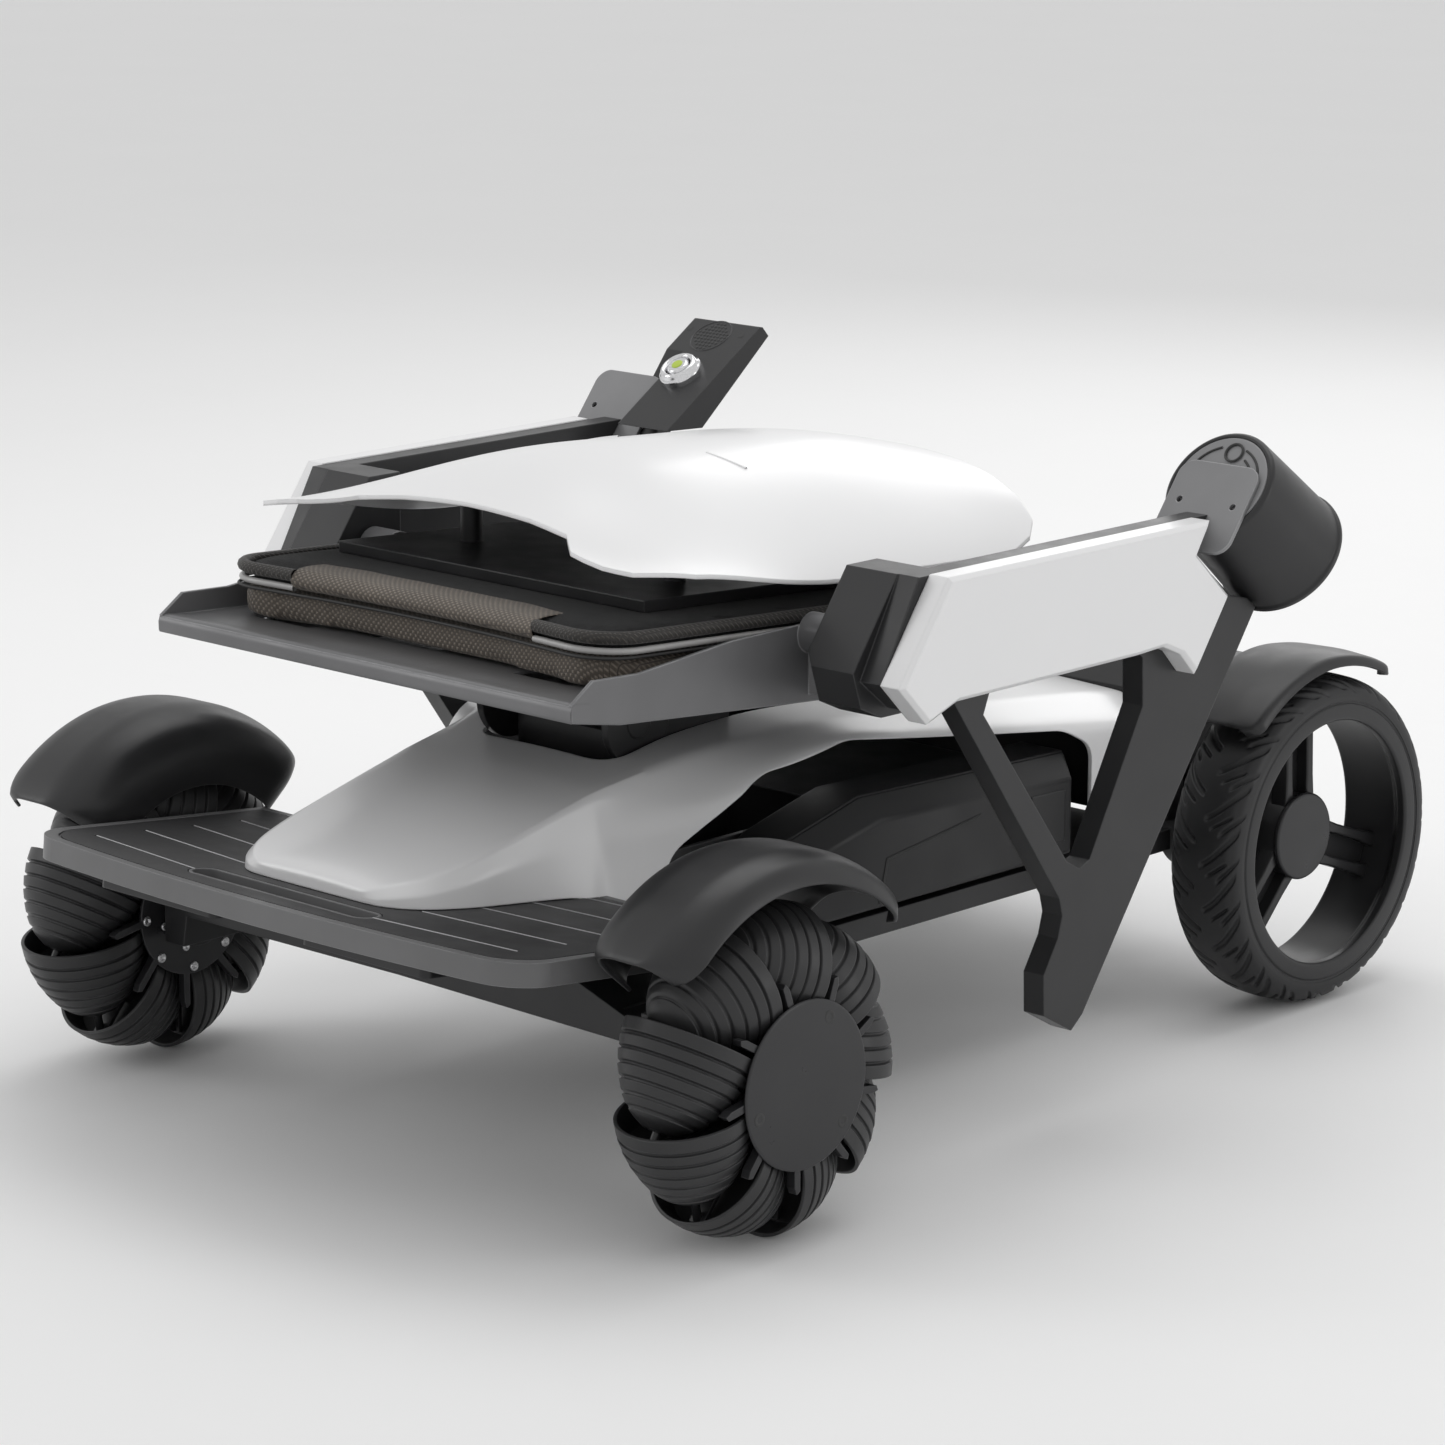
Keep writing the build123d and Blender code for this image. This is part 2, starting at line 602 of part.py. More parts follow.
# Crown sections: y, crown height on the centre line, height at the long edges
SHELL_SECTIONS = ((-290, 441, 417), (-247, 438, 414), (-175, 457, 403), (-100, 460, 391), (11, 453, 386),
                  (88, 445, 384), (132, 437, 388), (180, 426, 390))
SHELL_HALF, SHELL_T = 197.0, 3.0
SHELL_OUTLINE = ((0, -247), (62, -249), (102, -254), (134, -282), (150, -286), (166, -285), (181, -272),
                 (195, -228), (197, -102), (197, 90), (190, 115), (178, 132), (150, 148), (110, 163),
                 (80, 172), (76, 175), (0, 178))


def shell_section(y, crown, edge, half=SHELL_HALF):
    """Thin arched section of the shell in the XZ plane at y."""
    arch = [(x, crown - (crown - edge) * (x / half) ** 2) for x in (-half, -150, -100, -50, 0, 50, 100,
        150, half)]
    with BuildSketch(Plane.XZ.offset(-y)) as section:
        with BuildLine():
            Spline(*arch)
            Line(arch[-1], (half, edge - SHELL_T))
            Spline(*[(x, z - SHELL_T) for x, z in reversed(arch)])
            Line((-half, edge - SHELL_T), arch[0])
        make_face()
    return section.sketch.face()


with BuildPart() as back_shell:
    add(loft([shell_section(*values) for values in SHELL_SECTIONS], mode=Mode.PRIVATE))
    with BuildSketch(Plane.XY.offset(370)):
        with BuildLine():
            Polyline(*SHELL_OUTLINE, *[(-x, y) for x, y in reversed(SHELL_OUTLINE[:-1])])
        make_face()
    extrude(amount=110, mode=Mode.INTERSECT)
save(back_shell.part, "back_shell")

with BuildPart() as back_frame:
    with BuildSketch(side_plane(-150)):
        Polygon(*pad_outline(-230, 152, 42, 50), align=None)
    extrude(amount=300)
    for side in (-1, 1):
        # hinge knuckles under the rear corners
        with BuildSketch(side_plane(side * 137 - 13)):
            with Locations(BACK_HINGE):
                Circle(13)
        extrude(amount=26)
        with BuildSketch(side_plane(side * 137 - 16)):
            with Locations(BACK_HINGE):
                Circle(HINGE_R + RUNNING)
        extrude(amount=32, mode=Mode.SUBTRACT)
        # posts up to the shell
        for y, top in ((-150, 436), (50, 424)):
            foot = seat_z(y) + 44
            with Locations((side * 100, y, (top + foot) / 2)):
                Cylinder(8, top - foot)
save(back_frame.part, "back_frame")

# ---------------------------------------------------------------------------
# Folding arms: frame with block and V strut, white cover, bracket
# ---------------------------------------------------------------------------
ARM_OUTLINE = ((-95, 330), (-81.4, 311.1), (24.4, 164.1), (27.8, 151.2), (23.6, 135.7), (8.9, 112.2),
               (9.6, 83.3), (39.3, 66.5), (51.4, 76.3), (236.2, 336.1), (226, 344), (207.3, 348.5),
               (160.7, 387), (178.7, 410), (-124, 410), (-161, 344), (-134, 322))
ARM_HOLE = ((-58.1, 307.2), (31.5, 189.1), (45.5, 181.3), (56.2, 185.4), (111.2, 284.7), (110.1, 319.4),
            (100, 327), (-50, 327))
ARM_BLOCK = ((-125, 410), (-168, 350), (-160, 325), (-140, 316), (-95, 316), (-95, 410))
ARM_COVER = ((-114, 410.8), (-161.8, 343.9), (-134, 315.9), (-103.8, 326.6), (83, 327.6), (112, 329),
             (131, 321), (147, 304.2), (182.9, 354.9), (146.3, 388.8), (160.4, 410.8))

with BuildPart() as arm_frame:
    with BuildSketch(side_plane(ARM_X0)):
        Polygon(*ARM_OUTLINE, align=None)
        Polygon(*ARM_HOLE, align=None, mode=Mode.SUBTRACT)
    extrude(amount=ARM_X1 - ARM_X0)
    with BuildSketch(side_plane(BLOCK_X)):
        Polygon(*ARM_BLOCK, align=None)
    extrude(amount=ARM_X0 - BLOCK_X)
    chamfer(arm_frame.faces().sort_by(Axis.X)[0].edges().sort_by(Axis.Y)[:2], length=8)
    with BuildSketch(side_plane(BLOCK_X - 1)):
        with Locations(ARM_HINGE):
            Circle(HINGE_R + RUNNING)
    extrude(amount=30, mode=Mode.SUBTRACT)
save_pair(arm_frame.part, "arm_frame")

with BuildPart() as arm_cover:
    with BuildSketch(side_plane(ARM_X1 + 0.2)):
        Polygon(*ARM_COVER, align=None)
    extrude(amount=COVER_X1 - ARM_X1 - 0.2)
    chamfer(arm_cover.faces().sort_by(Axis.X)[-1].edges(), length=3)
save_pair(arm_cover.part, "arm_cover")

# Bracket plane: local x is +X, local y climbs the tilt, the normal faces forward and up
BRACKET = Plane(origin=(0, BRACKET_Y, BRACKET_Z), x_dir=(1, 0, 0)).rotated((BRACKET_TILT, 0, 0))
BRACKET_T, CUP_X, CUP_S, CUP_LEN = 3.0, 291.5, 16.6, 97.0
CUP_R0, CUP_R1, CUP_BORE_R, CUP_FLOOR = 43.0, 47.2, 40.0, 4.0
SCREW_XS, SCREW_R = (267.4, 314.1), 2.5

with BuildPart() as arm_bracket:
    with BuildSketch(BRACKET):
        with Locations(((256 + 325) / 2, -2.5)):
            RectangleRounded(325 - 256, 69, 12)
        with Locations([(x, 0) for x in SCREW_XS]):
            Circle(SCREW_R, mode=Mode.SUBTRACT)
    extrude(amount=-BRACKET_T)
save_pair(arm_bracket.part, "arm_bracket")

CUP_AXIS = BRACKET.offset(-BRACKET_T).shift_origin(BRACKET.offset(-BRACKET_T).from_local_coords((CUP_X,
    CUP_S, 0)))
with BuildPart() as cup_holder:
    with BuildSketch(CUP_AXIS):
        Circle(CUP_R0)
    extrude(amount=-CUP_LEN, taper=-degrees(atan2(CUP_R1 - CUP_R0, CUP_LEN)))
    with BuildSketch(CUP_AXIS.offset(-CUP_LEN + 5)):
        Circle(CUP_R1 + 1.3)
    extrude(amount=-5)
    with BuildSketch(CUP_AXIS.offset(-CUP_FLOOR)):
        Circle(CUP_BORE_R)
    extrude(amount=-CUP_LEN, mode=Mode.SUBTRACT)
    # drain hole
    with BuildSketch(CUP_AXIS):
        with Locations((1.4, 26)):
            Circle(6)
    extrude(amount=-CUP_FLOOR - 1, mode=Mode.SUBTRACT)
save(cup_holder.part, "cup_holder")

# ---------------------------------------------------------------------------
# Controller on the right arm, with its sprung button and thumb stick
# ---------------------------------------------------------------------------
SLAB_TILT, SLAB_Y, SLAB_Z, SLAB_LEN = 33.4, 150.0, 413.0, 129.0
SLAB_X0, SLAB_X1 = -272.0, -202.0
SLAB = Plane(origin=(0, SLAB_Y, SLAB_Z), x_dir=(1, 0, 0)).rotated((SLAB_TILT, 0, 0))
BUTTON_X, BUTTON_S, BUTTON_R, BUTTON_TRAVEL = -236.0, 63.0, 9.0, 3.0
STICK_X, STICK_S, STICK_DEPTH = -236.0, 84.0, 15.0
STICK_PIN_DEPTH, STICK_PIN_R, STICK_PIN_HALF = 13.0, 2.5, 16.0
STICK_PIN_Y = SLAB_Y + STICK_S * cos(radians(SLAB_TILT)) + STICK_PIN_DEPTH * sin(radians(SLAB_TILT))
STICK_PIN_Z = SLAB_Z + STICK_S * sin(radians(SLAB_TILT)) - STICK_PIN_DEPTH * cos(radians(SLAB_TILT))

with BuildPart() as controller_housing:
    with BuildSketch(side_plane(SLAB_X0)):
        Polygon((SLAB_Y, SLAB_Z), (256, 483), (264, 474), (190, 411), align=None)
    extrude(amount=SLAB_X1 - SLAB_X0)
    chamfer(controller_housing.edges().filter_by(GeomType.LINE).sort_by(Axis.Z)[-1:], length=2)
    # clear the bracket plate, then the mount block behind it
    with BuildSketch(BRACKET.offset(-BRACKET_T - 0.05)):
        with Locations(((-330 - 254) / 2, 0)):
            Rectangle(76, 200)
    extrude(amount=60, mode=Mode.SUBTRACT)
    with BuildSketch(BRACKET.offset(-BRACKET_T - 0.05)):
        with Locations((-281, -4)):
            RectangleRounded(82, 62, 8)
    extrude(amount=-13)
    # button ring and its bore
    with BuildSketch(SLAB):
        with Locations((BUTTON_X, BUTTON_S)):
            Circle(17)
    extrude(amount=4)
    with BuildSketch(SLAB.offset(4)):
        with Locations((BUTTON_X, BUTTON_S)):
            Circle(BUTTON_R + RUNNING)
    extrude(amount=-10, mode=Mode.SUBTRACT)
    # socket for the thumb stick in the back face
    with BuildSketch(SLAB.offset(-STICK_DEPTH + 6)):
        with Locations((STICK_X, STICK_S)):
            Circle(13)
    extrude(amount=-30, mode=Mode.SUBTRACT)
    # cross bore that carries the stick's pin on both sides of the socket
    with BuildSketch(side_plane(STICK_X - STICK_PIN_HALF - 0.2)):
        with Locations((STICK_PIN_Y, STICK_PIN_Z)):
            Circle(STICK_PIN_R + RUNNING)
    extrude(amount=2 * STICK_PIN_HALF + 0.4, mode=Mode.SUBTRACT)
save(controller_housing.part, "controller_housing")

with BuildPart() as release_button:
    with BuildSketch(SLAB.offset(4.5)):
        with Locations((BUTTON_X, BUTTON_S)):
            Circle(BUTTON_R)
    extrude(amount=-6)
    chamfer(release_button.faces().sort_by(Axis.Z)[-1].edges(), length=0.8)
save(release_button.part, "release_button")

with BuildPart() as thumb_stick:
    with BuildSketch(side_plane(STICK_X - STICK_PIN_HALF)):
        with Locations((STICK_PIN_Y, STICK_PIN_Z)):
            Circle(STICK_PIN_R)
    extrude(amount=2 * STICK_PIN_HALF)
    with BuildSketch(SLAB.offset(-STICK_DEPTH + 4)):
        with Locations((STICK_X, STICK_S)):
            Circle(4)
    extrude(amount=-15)
    with BuildSketch(SLAB.offset(-STICK_DEPTH - 7)):
        with Locations((STICK_X, STICK_S)):
            Circle(9)
    extrude(amount=-9)
save(thumb_stick.part, "thumb_stick")
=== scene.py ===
import json
import math

import bmesh
import bpy
import numpy as np
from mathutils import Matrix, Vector


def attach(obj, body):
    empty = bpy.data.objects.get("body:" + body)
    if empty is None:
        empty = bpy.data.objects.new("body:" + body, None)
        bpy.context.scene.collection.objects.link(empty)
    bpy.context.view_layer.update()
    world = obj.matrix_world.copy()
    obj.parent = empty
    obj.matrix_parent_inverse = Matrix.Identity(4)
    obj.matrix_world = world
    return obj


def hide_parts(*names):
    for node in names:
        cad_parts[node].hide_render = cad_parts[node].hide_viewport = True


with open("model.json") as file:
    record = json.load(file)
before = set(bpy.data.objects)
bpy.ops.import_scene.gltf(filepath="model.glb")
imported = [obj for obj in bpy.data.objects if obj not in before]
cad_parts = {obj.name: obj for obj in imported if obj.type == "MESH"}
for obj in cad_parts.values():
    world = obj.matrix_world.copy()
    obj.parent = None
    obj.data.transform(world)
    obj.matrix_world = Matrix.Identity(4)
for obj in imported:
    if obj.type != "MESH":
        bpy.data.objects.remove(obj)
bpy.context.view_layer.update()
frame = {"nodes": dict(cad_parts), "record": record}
NODES, RECORD = frame["nodes"], frame["record"]
D = -0.032835  # side view datum to row frame, metres

# ---------------------------------------------------------------------------
# Materials
# ---------------------------------------------------------------------------


class Tree:
    """Small helper that adds shader nodes and wires them by socket name."""

    def __init__(self, name):
        self.mat = bpy.data.materials.new(name)
        self.mat.use_nodes = True
        self.nodes, self.links = self.mat.node_tree.nodes, self.mat.node_tree.links
        self.bsdf = self.nodes["Principled BSDF"]
        self.coord = self.add("ShaderNodeTexCoord").outputs["Object"]

    def add(self, kind, links=(), **values):
        node = self.nodes.new(kind)
        for key, value in values.items():
            if hasattr(node, key):
                setattr(node, key, value)
            else:
                node.inputs[key.replace("_", " ")].default_value = value
        for key, source in dict(links).items():
            self.links.new(source, node.inputs[key])
        return node

    def noise(self, scale, detail=4.0, rough=0.6, coord=None):
        return self.add("ShaderNodeTexNoise", {"Vector": coord or self.coord}, Scale=scale, Detail=detail,
                        Roughness=rough).outputs["Fac"]

    def ramp(self, source, low, high, a, b):
        """source from low..high mapped to a..b, clamped."""
        node = self.add("ShaderNodeMapRange", {"Value": source})
        for key, value in (("From Min", low), ("From Max", high), ("To Min", a), ("To Max", b)):
            node.inputs[key].default_value = value
        return node.outputs["Result"]

    def math(self, operation, a, b=None):
        node = self.add("ShaderNodeMath", operation=operation)
        for index, value in enumerate((a, b)):
            if value is None:
                continue
            if isinstance(value, (int, float)):
                node.inputs[index].default_value = value
            else:
                self.links.new(value, node.inputs[index])
        return node.outputs[0]

    def mix(self, factor, a, b):
        node = self.add("ShaderNodeMix", data_type="RGBA")
        for key, value in ((0, factor), (6, a), (7, b)):
            if isinstance(value, (int, float)):
                node.inputs[key].default_value = value
            elif isinstance(value, tuple):
                node.inputs[key].default_value = (*value, 1.0)
            else:
                self.links.new(value, node.inputs[key])
        return node.outputs[2]

    def edge(self, radius):
        """1 on convex and concave edges, 0 on flats, and the rounded normal."""
        bevel = self.add("ShaderNodeBevel", samples=6, Radius=radius)
        geo = self.add("ShaderNodeNewGeometry").outputs["Normal"]
        dot = self.add("ShaderNodeVectorMath", operation="DOT_PRODUCT")
        self.links.new(bevel.outputs[0], dot.inputs[0])
        self.links.new(geo, dot.inputs[1])
        return self.ramp(dot.outputs["Value"], 0.995, 0.80, 0.0, 1.0), bevel.outputs[0]

    def bump(self, height, strength, distance, normal=None):
        links = {"Height": height}
        if normal is not None:
            links["Normal"] = normal
        return self.add("ShaderNodeBump", links, Strength=strength, Distance=distance).outputs[0]

    def out(self, color=None, rough=None, normal=None, **values):
        for key, source in (("Base Color", color), ("Roughness", rough), ("Normal", normal)):
            if source is not None:
                self.links.new(source, self.bsdf.inputs[key])
        for key, value in values.items():
            self.bsdf.inputs[key.replace("_", " ")].default_value = value
        return self.mat


# edge is (bevel radius, lightening factor) of the painted edge highlight
def solid(name, color, rough, metal=0.0, grain=(900.0, 0.12), edge=(0.0012, 1.5), mottle=0.10, spread=0.06,
          coat=0.0, specular=0.5):
    """Moulded or painted surface: fine grain, slow mottling, and a painted highlight lightening its edges.
    """
    t = Tree(name)
    # painted highlight: edges found by the bevel normal are lightened below
    highlight_edges, rounded = t.edge(edge[0])
    slow, fine = t.noise(6.0), t.noise(grain[0], 2.0)
    dark = tuple(c * (1 - mottle) for c in color)
    light = tuple(min(c * (1 + mottle), 1.0) for c in color)
    body = t.mix(t.ramp(slow, 0.35, 0.65, 0.0, 1.0), dark, light)
    # lighter edge colour, broken up by noise: painted highlight along the edges
    highlight_tone = tuple(min(c * edge[1] + 0.012, 0.95) for c in color)
    highlight_mask = t.math("MULTIPLY", highlight_edges, t.ramp(t.noise(60.0), 0.35, 0.7, 0.35, 1.0))
    shade = t.mix(highlight_mask, body, highlight_tone)
    gloss = t.ramp(t.noise(22.0), 0.3, 0.7, rough - spread, rough + spread)
    return t.out(shade, gloss, t.bump(fine, grain[1], 0.0004, rounded), Metallic=metal, Coat_Weight=coat,
                 Coat_Roughness=0.18, Specular_IOR_Level=specular)


def brushed(name, color, rough, axis=(1.0, 60.0, 60.0)):
    """Brushed or rolled metal, streaked along X."""
    t = Tree(name)
    highlight_edges, rounded = t.edge(0.0012)
    stretch = t.add("ShaderNodeMapping", {"Vector": t.coord}, Scale=tuple(a * 18 for a in axis)).outputs[0]
    streak = t.noise(1.0, 3.0, coord=stretch)
    body = t.mix(t.ramp(streak, 0.3, 0.7, 0.0, 1.0), tuple(c * 0.88 for c in color),
                 tuple(min(c * 1.1, 1) for c in color))
    # edges lightened: painted highlight
    shade = t.mix(highlight_edges, body, tuple(min(c * 1.5 + 0.05, 0.95) for c in color))
    gloss = t.ramp(streak, 0.3, 0.7, rough - 0.05, rough + 0.07)
    return t.out(shade, gloss, t.bump(streak, 0.08, 0.0003, rounded), Metallic=1.0)


def weave(name, warp, weft, pitch, rough=0.62):
    """Basket weave cloth in the plane of X and the profile, pitch in metres."""
    t = Tree(name)
    k = 2 * math.pi / pitch
    xyz = t.add("ShaderNodeSeparateXYZ", {"Vector": t.coord})
    along = t.math("SINE", t.math("MULTIPLY", xyz.outputs["X"], k))
    run = t.math("ADD", xyz.outputs["Y"], t.math("MULTIPLY", xyz.outputs["Z"], 1.0))
    across = t.math("SINE", t.math("MULTIPLY", run, k))
    check = t.math("MULTIPLY", along, across)
    thread = t.ramp(check, -0.6, 0.6, 0.0, 1.0)
    gap = t.math("MINIMUM", t.math("ABSOLUTE", along), t.math("ABSOLUTE", across))
    dirt = t.ramp(t.noise(14.0), 0.3, 0.7, 0.82, 1.12)
    shade = t.mix(thread, warp, weft)
    shade = t.mix(t.ramp(gap, 0.0, 0.35, 1.0, 0.0), shade, tuple(c * 0.3 for c in warp))
    tint = t.add("ShaderNodeHueSaturation", {"Color": shade, "Value": dirt}).outputs[0]
    height = t.math("ADD", t.math("MULTIPLY", check, 0.6), t.math("MULTIPLY", gap, 0.7))
    return t.out(tint, t.ramp(t.noise(40.0), 0.3, 0.7, rough - 0.06, rough + 0.08),
                 t.bump(height, 0.55, pitch * 0.25),
                 Sheen_Weight=0.15, Sheen_Roughness=0.5)


def fleece(name, color):
    """Short black pile: fuzzy bump and sheen."""
    t = Tree(name)
    fine = t.noise(1400.0, 6.0, 0.75)
    tuft = t.noise(120.0, 4.0)
    body = t.mix(t.ramp(tuft, 0.35, 0.65, 0.0, 1.0), tuple(c * 0.6 for c in color),
                 tuple(c * 1.7 for c in color))
    height = t.math("ADD", fine, t.math("MULTIPLY", tuft, 0.8))
    return t.out(body, t.ramp(fine, 0.3, 0.7, 0.8, 0.98), t.bump(height, 0.8, 0.0012), Sheen_Weight=0.12,
                 Sheen_Roughness=0.6, Specular_IOR_Level=0.2)


M = {
    "white_gloss": solid("white_gloss", (0.78, 0.78, 0.785), 0.30, grain=(700.0, 0.0), edge=(0.0018, 1.15),
                         mottle=0.004, spread=0.01, coat=0.30),
    "dark_plastic": solid("dark_plastic", (0.020, 0.020, 0.021), 0.36, grain=(1500.0, 0.10),
                          edge=(0.0016, 3.0), specular=0.42),
    "battery_black": solid("battery_black", (0.015, 0.015, 0.016), 0.38, grain=(1300.0, 0.12),
                           edge=(0.0016, 2.6), specular=0.42),
    "tread_mat": solid("tread_mat", (0.028, 0.028, 0.029), 0.46, grain=(1100.0, 0.20),
                       edge=(0.0006, 2.0), specular=0.4),
    "dark_metal": solid("dark_metal", (0.014, 0.014, 0.015), 0.36, edge=(0.0014, 3.0), specular=0.42),
    "plate_rim": solid("plate_rim", (0.120, 0.120, 0.122), 0.42, edge=(0.0012, 2.4)),
    "pan_grey": solid("pan_grey", (0.150, 0.150, 0.154), 0.36, metal=0.25, grain=(1600.0, 0.08),
                      edge=(0.0018, 2.6)),
    "bracket_grey": solid("bracket_grey", (0.230, 0.230, 0.235), 0.38, metal=0.25, grain=(1600.0, 0.08),
                          edge=(0.0014, 2.0)),
    "piping": solid("piping", (0.36, 0.355, 0.35), 0.26, grain=(1500.0, 0.05), edge=(0.0008, 1.6)),
    "mesh_dark": weave("mesh_dark", (0.014, 0.012, 0.010), (0.040, 0.034, 0.028), 0.0042),
    # light grey for the footplate grooves: painted highlight
    "groove_highlight": solid("groove_highlight", (0.46, 0.46, 0.47), 0.34, metal=0.2, edge=(0.0004, 1.3)),
    "bright_metal": brushed("bright_metal", (0.62, 0.62, 0.63), 0.28),
    "chrome": brushed("chrome", (0.74, 0.74, 0.75), 0.12),
    "mesh_fabric": weave("mesh_fabric", (0.075, 0.060, 0.046), (0.215, 0.180, 0.145), 0.0048),
    "black_fleece": fleece("black_fleece", (0.0065, 0.0065, 0.007)),
    "roller_rubber": solid("roller_rubber", (0.024, 0.024, 0.025), 0.42, grain=(900.0, 0.16),
                           edge=(0.0011, 3.0), mottle=0.18, specular=0.42),
    "tyre_black": solid("tyre_black", (0.017, 0.017, 0.018), 0.46, grain=(900.0, 0.20),
                        edge=(0.0010, 2.4), mottle=0.20, specular=0.4),
    "rim_dark": solid("rim_dark", (0.016, 0.016, 0.017), 0.36, edge=(0.0015, 3.0), specular=0.42),
    "hub_dark": solid("hub_dark", (0.020, 0.020, 0.0215), 0.32, grain=(1500.0, 0.06), edge=(0.0012, 3.0),
                      specular=0.45),
    "dot_green": solid("dot_green", (0.42, 0.55, 0.06), 0.35),
    "rubber_black": solid("rubber_black", (0.028, 0.028, 0.028), 0.60, grain=(900.0, 0.2)),
}
for part in RECORD["subparts"]:
    node = NODES[part["node"]]
    node.data.materials.clear()
    node.data.materials.append(M["plate_rim" if part["node"] == "footplate" else part["material_slot"]])

# ---------------------------------------------------------------------------
# Mesh helpers, all in row-frame metres
# ---------------------------------------------------------------------------


def piece(name, verts, faces, body, slot, smooth=True, replaces=(), paint=None):
    """New mesh object that rides on a body and takes a slot's material."""
    mesh = bpy.data.meshes.new(name)
    mesh.from_pydata([tuple(v) for v in verts], [], faces)
    mesh.update()
    obj = bpy.data.objects.new(name, mesh)
    bpy.context.collection.objects.link(obj)
    return dress(obj, body, slot, smooth, replaces, paint=paint)


def dress(obj, body, slot, smooth=True, replaces=(), sharp=40, paint=None):
    """Give an object its material, shading, body and the nodes it stands for."""
    obj.data.materials.clear()
    obj.data.materials.append(M[paint or slot])
    for polygon in obj.data.polygons:
        polygon.use_smooth = smooth
    if smooth and sharp:
        obj.data.set_sharp_from_angle(angle=math.radians(sharp))
    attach(obj, body)
    if replaces:
        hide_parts(*replaces)
    return obj


def grid_faces(rows, cols, wrap_rows=False, wrap_cols=False):
    faces = []
    for i in range(rows if wrap_rows else rows - 1):
        for j in range(cols if wrap_cols else cols - 1):
            a, b = i * cols + j, i * cols + (j + 1) % cols
            c, d = ((i + 1) % rows) * cols + (j + 1) % cols, ((i + 1) % rows) * cols + j
            faces.append((a, b, c, d))
    return faces


def lathe(profile, centre, axis, up, segments=96, turn=(0.0, 360.0)):
    """Vertices and faces of (along, radius) points turned about an axis through centre."""
    axis, up = Vector(axis).normalized(), Vector(up).normalized()
    side = axis.cross(up)
    full = abs(turn[1] - turn[0] - 360.0) < 1e-6
    angles = np.radians(np.linspace(*turn, segments, endpoint=not full))
    verts = []
    for angle in angles:
        out = up * math.cos(angle) + side * math.sin(angle)
        verts += [Vector(centre) + axis * a + out * r for a, r in profile]
    return verts, grid_faces(len(angles), len(profile), wrap_rows=full)


def rounded(points, radius, steps=4):
    """Open (a, r) polyline with its inner corners rounded off."""
    points = [Vector(p) for p in points]
    done = [points[0]]
    for before, corner, after in zip(points, points[1:], points[2:]):
        back, ahead = before - corner, after - corner
        reach = min(radius, back.length * 0.45, ahead.length * 0.45)
        start, end = corner + back.normalized() * reach, corner + ahead.normalized() * reach
        for step in range(steps + 1):
            f = step / steps
            done.append(start * (1 - f) ** 2 + corner * 2 * f * (1 - f) + end * f ** 2)
    return [tuple(p) for p in done + [points[-1]]]


def bevel(obj, width, segments=3, angle=30):
    """Rounded edges on a piece."""
    mod = obj.modifiers.new("edge", "BEVEL")
    mod.width, mod.segments, mod.limit_method = width, segments, "ANGLE"
    mod.angle_limit = math.radians(angle)
    mod.harden_normals = False
    return obj


def prism(name, outline, x0, x1, body, slot, replaces=(), width=0.0):
    """Side outline (y, z in design millimetres) run from x0 to x1 millimetres."""
    pts = [(y / 1000 + D, z / 1000) for y, z in outline]
    n = len(pts)
    verts = [(x / 1000, y, z) for x in (x0, x1) for y, z in pts]
    faces = [tuple(range(n)), tuple(range(2 * n - 1, n - 1, -1))]
    faces += [(i + n, (i + 1) % n + n, (i + 1) % n, i) for i in range(n)]
    obj = piece(name, verts, faces, body, slot, True, replaces)
    fix_normals(obj)
    return bevel(obj, width) if width else obj


def fix_normals(obj):
    bm = bmesh.new()
    bm.from_mesh(obj.data)
    bmesh.ops.recalc_face_normals(bm, faces=bm.faces)
    bm.to_mesh(obj.data)
    bm.free()


def screw(name, place, axis, radius, body, slot="bright_metal", height=0.0015, socket=True):
    """Small screw head with a recessed socket, axis pointing out."""
    r = radius
    profile = [(0, r), (height * 0.6, r), (height, r * 0.85), (height, r * 0.5)]
    profile += [(height * 0.25, r * 0.42), (height * 0.25, 0)] if socket else [(height, 0)]
    axis = Vector(axis)
    up = (0, 0, 1) if abs(axis.z) < 0.7 else (1, 0, 0)
    up = Vector(up) - axis * axis.dot(Vector(up))
    return piece(name, *lathe(profile, place, axis, up, 20), body, slot)


SIDES = (("left", 1), ("right", -1))
FRONT_AXLE, REAR_AXLE = Vector((0, -0.2829 + D, 0.1115)), Vector((0, 0.3977 + D, 0.125))

# ---------------------------------------------------------------------------
# Omni wheels: ribbed bell rollers, cover discs and screws
# ---------------------------------------------------------------------------
BELL_X = (0, 10, 20, 28, 35, 45, 52, 58, 62)
BELL_R = (44.5, 43.9, 42, 39.6, 36.5, 31, 25.5, 18, 10)
GROOVES = (10.5, 19.6, 28.6, 37.4, 45.8, 53.2)


